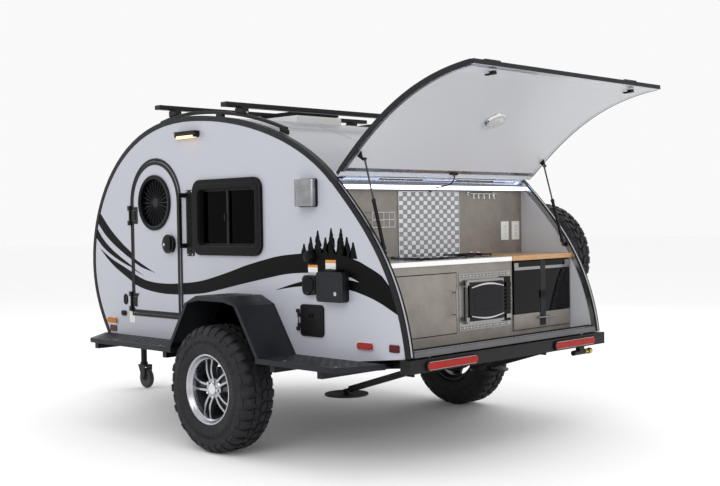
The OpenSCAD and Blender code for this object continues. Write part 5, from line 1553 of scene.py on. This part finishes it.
    cold.box((strap_x, middle - 0.026, tray_low.z + 0.012),
             (x + 0.0004, middle + 0.026, high.z + 0.0012), 0.0008, 3)
    cold.box((strap_x, middle - 0.026, high.z - 0.0002),
             (x + 0.060, middle + 0.026, high.z + 0.0018), 0.0006, 3)
    cold.box((strap_x - 0.005, middle - 0.032, 0.838), (strap_x + 0.001, middle + 0.032, 0.884),
             0.0025, 4)
    cold.box((strap_x - 0.0065, middle - 0.022, 0.850), (strap_x - 0.004, middle + 0.022, 0.872),
             0.001, 2)
    cold.done()
    sink = Piece("sink_details", "trailer", "steel", steel, seal_black, frame_black, chrome)
    sink.lathe([(0.0, 0.0), (0.034, 0.0), (0.036, 0.002), (0.030, 0.0032), (0.012, 0.0014),
                (0.0, 0.0014)],
               at(-0.927, 0.330, TOP_Z - 0.0985), (0, 0, 1), 40, 3)
    for y, r in ((0.025, 0.030), (-0.115, 0.024)):
        centre = at(-0.935, y, TOP_Z + 0.0078)
        sink.lathe([(0.0, 0.0), (r, 0.0), (r + 0.001, 0.003), (r - 0.004, 0.0052), (0.0, 0.0060)],
                   centre, (0, 0, 1), 36, 2)
        for k in range(16):
            angle = math.tau * k / 16
            sink.box(centre + Vector((r + 0.001, -0.0014, -0.007)),
                     centre + Vector((r + 0.0042, 0.0014, 0.0005)), 0.0,
                     1, Matrix.Translation(centre) @ Matrix.Rotation(angle, 4,
                                                                     "Z") @ Matrix.Translation(-centre))
    for x in (-0.850, -0.905):
        sink.box(at(x - 0.0022, -0.183 - 0.0135, TOP_Z + 0.0215),
                 at(x + 0.0022, -0.183 + 0.0135, TOP_Z + 0.0270), 0.001, 3)
    sink.done()


# ---- running gear, chassis and tongue ----
def raised_lozenges(piece, x0, x1, y0, y1, z, inside, mat=0, step=0.030):
    """Tread-plate lozenges that alternate in direction, wherever inside(x, y) allows."""
    rows, columns = int((y1 - y0) / step), int((x1 - x0) / step)
    for i in range(columns):
        for j in range(rows):
            x, y = x0 + (i + 0.5) * step, y0 + (j + 0.5) * step
            if not inside(x, y):
                continue
            way = 1 if (i + j) % 2 else -1
            a = Vector((0.0095, way * 0.0095, 0))
            b = Vector((-way * 0.0022, 0.0022, 0)) if way > 0 else Vector((0.0022, 0.0022, 0))
            centre = Vector((x, y, z))
            low = [piece.bm.verts.new(centre + s) for s in (a, b, -a, -b)]
            top = [piece.bm.verts.new(centre + s * 0.62 + Vector((0, 0, 0.0013))) for s in (a, b,
                                                                                            -a, -b)]
            faces = [piece.bm.faces.new(top)]
            for k in range(4):
                n = (k + 1) % 4
                faces.append(piece.bm.faces.new((low[k], low[n], top[n], top[k])))
            for face in faces:
                face.material_index = mat
            bmesh.ops.recalc_face_normals(piece.bm, faces=faces)


def chassis():
    for node, width in (("chassis_rails", 0.004), ("chassis_crossmembers", 0.002),
                        ("rear_bumper", 0.004), ("axle", 0.0025),
                        ("jack_tube", 0.0015), ("jack_fork", 0.0012),
                        ("stabiliser_leg_left", 0.002),
                        ("stabiliser_leg_right", 0.002), ("stabiliser_pad_left", 0.0015),
                        ("stabiliser_pad_right", 0.0015)):
        soften(node, width, frame_black)
    soften("coupler", 0.0035, frame_black, segments=3)
    soften("fenders", 0.0022, powder_black)
    soften("side_steps", 0.0030, powder_black, segments=3)
    soften("tongue_deck", 0.0025, powder_black)
    soften("gas_bottle", 0.0020, bottle_white)
    soften("jack_leg", 0.0012, frame_black)
    soften("jack_wheel", 0.0020, caster_rubber)
    steps = Piece("step_tread", "trailer", "fender_black", powder_black, zinc)
    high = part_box("side_steps")[1]
    inner = HALF + 0.006
    for side in (1, -1):
        y0, y1 = (inner, high.y - 0.008) if side > 0 else (-high.y + 0.008, -inner)

        def on_step(x, y):
            wheel = x - AXLE_X
            reach = abs(y) - inner
            if 0.415 < wheel < 1.30:
                return True
            if wheel >= 1.30:
                return wheel < 1.545 - reach
            return -1.120 + reach * 0.4 < wheel < -0.415

        raised_lozenges(steps, AXLE_X - 1.13, AXLE_X - 0.41, y0, y1, high.z, on_step)
        raised_lozenges(steps, AXLE_X + 0.41, AXLE_X + 1.55, y0, y1, high.z, on_step)
        for x in (-1.02, -0.62, 0.55, 1.05):
            steps.disc(at(x, side * (HALF + 0.245), high.z - 0.0005), 0.0075, 0.004, (0, 0, 1), 6,
                       1)
    deck_low, deck_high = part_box("tongue_deck")
    plate = deck_low.z + 0.006
    bottle_low, bottle_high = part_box("gas_bottle")
    bottle = Vector(((bottle_low.x + bottle_high.x) / 2, 0, 0))

    def on_deck(x, y):
        if math.hypot(x - bottle.x, y) < 0.175:
            return False
        front = deck_high.x
        if BATTERY_X - 0.105 < x < BATTERY_X + 0.105 and abs(y) < 0.182:
            return False
        edge = BATTERY_X + 0.110
        half = 0.385 if x < edge else 0.385 - (x - edge) / (front - edge) * 0.21
        return abs(y) < half - 0.006

    raised_lozenges(steps, deck_low.x + 0.01, deck_high.x - 0.01, -0.39, 0.39, plate, on_deck)
    steps.done()
    bolts = Piece("chassis_bolts", "trailer", "jack_steel", zinc, frame_black, brass,
                  moulded_black, aluminium)
    for side in (1, -1):
        for x in (-0.100, 0.100):
            bolts.disc(at(x, side * (HALF + 0.030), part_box("fenders")[1].z - 0.0006), 0.0075,
                       0.0036, (0, 0, 1), 6, 0)
        for x in (0.085, 0.175):
            bolts.tube([at(x, side * 0.560, 0.420), at(x, side * 0.560, 0.510)], 0.0065, 10, 0)
            bolts.disc(at(x, side * 0.560, 0.418), 0.011, 0.008, (0, 0, -1), 6, 0)
        for x in (-1.285, -1.255):
            bolts.disc(at(x, side * 0.70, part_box("rear_bumper")[1].z - 0.0005), 0.008, 0.005,
                       (0, 0, 1), 6, 0)
        drum = at(0, side * (WHEEL_Y - 0.100), TYRE_R)
        bolts.lathe([(0.060, 0.0), (0.129, 0.0), (0.131, side * 0.004), (0.131, side * 0.036),
                     (0.127, side * 0.040),
                     (0.124, side * 0.046), (0.060, side * 0.046)], drum, (0, 1, 0), 64, 1,
                     closed=True)
    gas = at(-1.292, -0.760, 0.502)
    bolts.lathe([(0.009, 0.0), (0.017, 0.0), (0.019, -0.006), (0.017, -0.012), (0.019, -0.018),
                 (0.016, -0.030), (0.009, -0.030)],
                gas, (0, 1, 0), 28, 2, closed=True)
    bolts.lathe([(0.010, 0.0), (0.018, 0.0), (0.018, 0.028), (0.010, 0.028)],
                gas + Vector((0, 0.016, 0)), (0, 1, 0), 6, 2,
                closed=True)
    bolts.done()
    tongue = Piece("tongue_details", "trailer", "frame_black", frame_black, zinc, brass,
                   moulded_black, seal_black, chrome)
    neck = bottle_high.z
    tongue.lathe([(0.0, 0.0), (0.016, 0.0), (0.016, 0.012), (0.011, 0.016), (0.011, 0.030),
                  (0.0, 0.032)],
                 (bottle.x, 0, neck - 0.060), (0, 0, 1), 24, 2)
    tongue.lathe([(0.0, 0.0), (0.022, 0.0), (0.026, 0.004), (0.024, 0.012), (0.0, 0.014)],
                 (bottle.x, 0, neck - 0.028), (0, 0, 1),
                 10, 3)
    tongue.box((bottle.x - 0.045, -0.012, neck - 0.050), (bottle.x - 0.010, 0.012, neck - 0.028),
               0.003, 2)
    for y in (-0.090, 0.090):
        tongue.box((BATTERY_X - 0.104, y - 0.019, plate),
                   (BATTERY_X + 0.104, y + 0.019, plate + 0.2275), 0.001, 4)
        tongue.box((BATTERY_X - 0.108, y - 0.023, plate + 0.100),
                   (BATTERY_X - 0.102, y + 0.023, plate + 0.135), 0.002, 3)
    for k in range(6):
        z = plate + 0.025 + k * 0.024
        tongue.box((BATTERY_X - 0.0965, -0.150, z), (BATTERY_X + 0.0965, 0.150, z + 0.005), 0.001,
                   3)
    coupler_low, coupler_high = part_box("coupler")
    ball = AXLE_X + 2.837
    tongue.box((ball - 0.110, -0.012, coupler_high.z - 0.001),
               (ball - 0.020, 0.012, coupler_high.z - 0.001 + 0.012), 0.004, 5)
    for x in (ball - 0.150, ball - 0.215):
        for side in (1, -1):
            tongue.disc((x, side * 0.038, (coupler_low.z + 0.565) / 2), 0.012, 0.010, (0, side, 0),
                        6, 1)
    jack_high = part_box("jack_tube")[1]
    jack_x = AXLE_X + 2.430
    for dx in (-0.042, 0.042):
        for dy in (-0.105, 0.105):
            tongue.disc((jack_x + dx, dy, 0.5765), 0.010, 0.007, (0, 0, 1), 6, 1)
    tongue.lathe([(0.0125, 0.0), (0.0165, 0.004), (0.0175, 0.030), (0.0160, 0.060),
                  (0.0135, 0.076), (0.0125, 0.078)],
                 (jack_x + 0.120, 0, jack_high.z - 0.080), (0, 0, 1), 24, 3, closed=True)
    tongue.done()


def roof():
    soften("roof_rails", 0.0030, frame_black, segments=3)
    soften("roof_bars", 0.0050, frame_black, segments=3)
    soften("roof_vent_base", 0.0020, vent_white)
    soften("roof_vent_lid", 0.0060, lid_black, segments=3)
    detail = Piece("roof_details", "trailer", "rack_black", moulded_black, seal_black, zinc,
                   aluminium)
    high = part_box("roof_bars")[1]
    for x in (0.798, 0.110):
        z = high.z if x > 0.5 else high.z - 0.03739
        for y in (-1, 1):
            detail.box(at(x - 0.0305, y * (high.y - 0.010) - 0.0095, z - 0.0285),
                       at(x + 0.0305, y * (high.y - 0.010) + 0.0095, z + 0.0004),
                       0.004, 0)
            detail.disc(at(x - 0.046, y * (HALF - 0.075), z - 0.060), 0.009, 0.006, (-1, 0, 0), 6,
                        2)
        detail.box(at(x - 0.0055, -high.y + 0.025, z - 0.0006),
                   at(x + 0.0055, high.y - 0.025, z + 0.0004), 0.0, 1)
    lid_low, lid_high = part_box("roof_vent_lid")
    for k in range(5):
        y = (lid_low.y + lid_high.y) / 2 + (k - 2) * 0.066
        rib = Piece("vent_rib_" + str(k), "roof_vent_lid", "vent_lid_black", lid_black)
        rib.box((lid_low.x + 0.030, y - 0.008, lid_high.z - 0.004),
                (lid_low.x + 0.330, y + 0.008, lid_high.z + 0.0030),
                0.003)
        rib.done()
    line = skin_band(2, [k / 24 for k in range(25)], -0.003)
    for y in (-0.300, 0.300):
        detail.strip(*line, y - 0.006, y + 0.006, -0.0005, 0.0016, 3)
    detail.done()


def struts():
    for side in ("left", "right"):
        soften("strut_cylinder_" + side, 0.0012, gloss_black)
        soften("strut_rod_" + side, 0.0010, strut_steel)
        sign = 1 if side == "left" else -1
        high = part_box("strut_cylinder_" + side)[1]
        foot = Vector(joint("strut_" + side + "_tilt")["pos_m"])
        way = Vector(joint("strut_" + side + "_slide")["axis"])
        collars = Piece("strut_collars_" + side, "strut_cylinder_" + side, "strut_black",
                        moulded_black, zinc)
        length = (high.z - foot.z) / way.z
        collars.lathe([(0.0105, 0.0), (0.0125, 0.002), (0.0125, 0.020), (0.0105, 0.022)],
                      foot + way * 0.016, way, 28, 0,
                      closed=True)
        collars.lathe([(0.0103, 0.0), (0.0118, 0.002), (0.0118, 0.014), (0.0103, 0.016)],
                      foot + way * (length - 0.022), way, 28,
                      0, closed=True)
        collars.disc(foot + Vector((0, -sign * 0.0095, 0)), 0.0062, 0.0035, (0, -sign, 0), 6, 1)
        collars.done()
        rod_low, rod_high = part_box("strut_rod_" + side)
        eye = Vector((0, (rod_low.y + rod_high.y) / 2, rod_high.z - 0.009))
        eye.x = foot.x + way.x * (eye.z - foot.z) / way.z
        pin = Piece("strut_pin_" + side, "strut_rod_" + side, "rod_steel", zinc)
        pin.lathe([(0.0, -0.0105), (0.0068, -0.0105), (0.0068, -0.0075), (0.0045, -0.0075),
                   (0.0045, 0.0118), (0.0, 0.0118)],
                  eye, (0, sign, 0), 24)
        pin.done()


def cabin():
    low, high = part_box("mattress")
    across, deep = 44, 56
    bm = bmesh.new()
    rng = random.Random(5)
    wide, long, tall = high.y - low.y, high.x - low.x, high.z - low.z
    tufts = [((i + 0.5) / 6, (j + 0.5) / 5) for i in range(6) for j in range(5)]

    def crown(u, v):
        edge = min(u, 1 - u, v, 1 - v)
        rise = min(1.0, edge / 0.06) ** 0.5
        dip = sum(math.exp(-(((u - a) * 6) ** 2 + ((v - b) * 5) ** 2) * 9) for a, b in tufts)
        return tall * (0.86 + 0.12 * rise) - 0.016 * min(1.0, dip) - 0.004 * rng.random() * 0.2

    top = [[bm.verts.new((low.x + long * (0.01 + 0.98 * i / deep),
                          low.y + wide * (0.01 + 0.98 * j / across),
                          low.z + crown(i / deep,
                                        j / across))) for j in range(across + 1)] for i in range(deep + 1)]
    for i in range(deep):
        for j in range(across):
            bm.faces.new((top[i][j], top[i + 1][j], top[i + 1][j + 1], top[i][j + 1]))
    border = [top[i][0] for i in range(deep + 1)] + [top[deep][j] for j in range(1, across + 1)]
    border += [top[i][across] for i in range(deep - 1, -1,
                                             -1)] + [top[0][j] for j in range(across - 1, 0, -1)]
    previous = border
    middle = Vector(((low.x + high.x) / 2, (low.y + high.y) / 2, 0))
    for level, bulge in ((0.72, 0.996), (0.62, 1.0), (0.56, 0.990), (0.50, 1.0), (0.20, 1.0),
                         (0.06, 0.996), (0.0, 0.985)):
        loop = []
        for vert in border:
            flat = Vector((vert.co.x, vert.co.y, 0)) - middle
            grown = flat * (bulge / 0.98)
            loop.append(bm.verts.new((middle.x + max(-long / 2, min(long / 2, grown.x)),
                                      middle.y + max(-wide / 2, min(wide / 2, grown.y)),
                                      low.z + tall * level)))
        for k in range(len(loop)):
            n = (k + 1) % len(loop)
            bm.faces.new((previous[k], previous[n], loop[n], loop[k]))
        previous = loop
    bm.faces.new(previous[::-1])
    bmesh.ops.recalc_face_normals(bm, faces=bm.faces[:])
    pad = link("mattress_quilt", bm, [mattress_cloth])
    pad.data.shade_smooth()
    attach(pad, "trailer")
    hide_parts("mattress")


make_camera()
make_studio()
wheels()
body()
graphics()
hatch()
doors()
windows()
fittings()
lamps()
galley()
chassis()
roof()
struts()
cabin()


def corners(box):
    return [list(map(float, corner)) for corner in box] if isinstance(box, (list, tuple)) else box
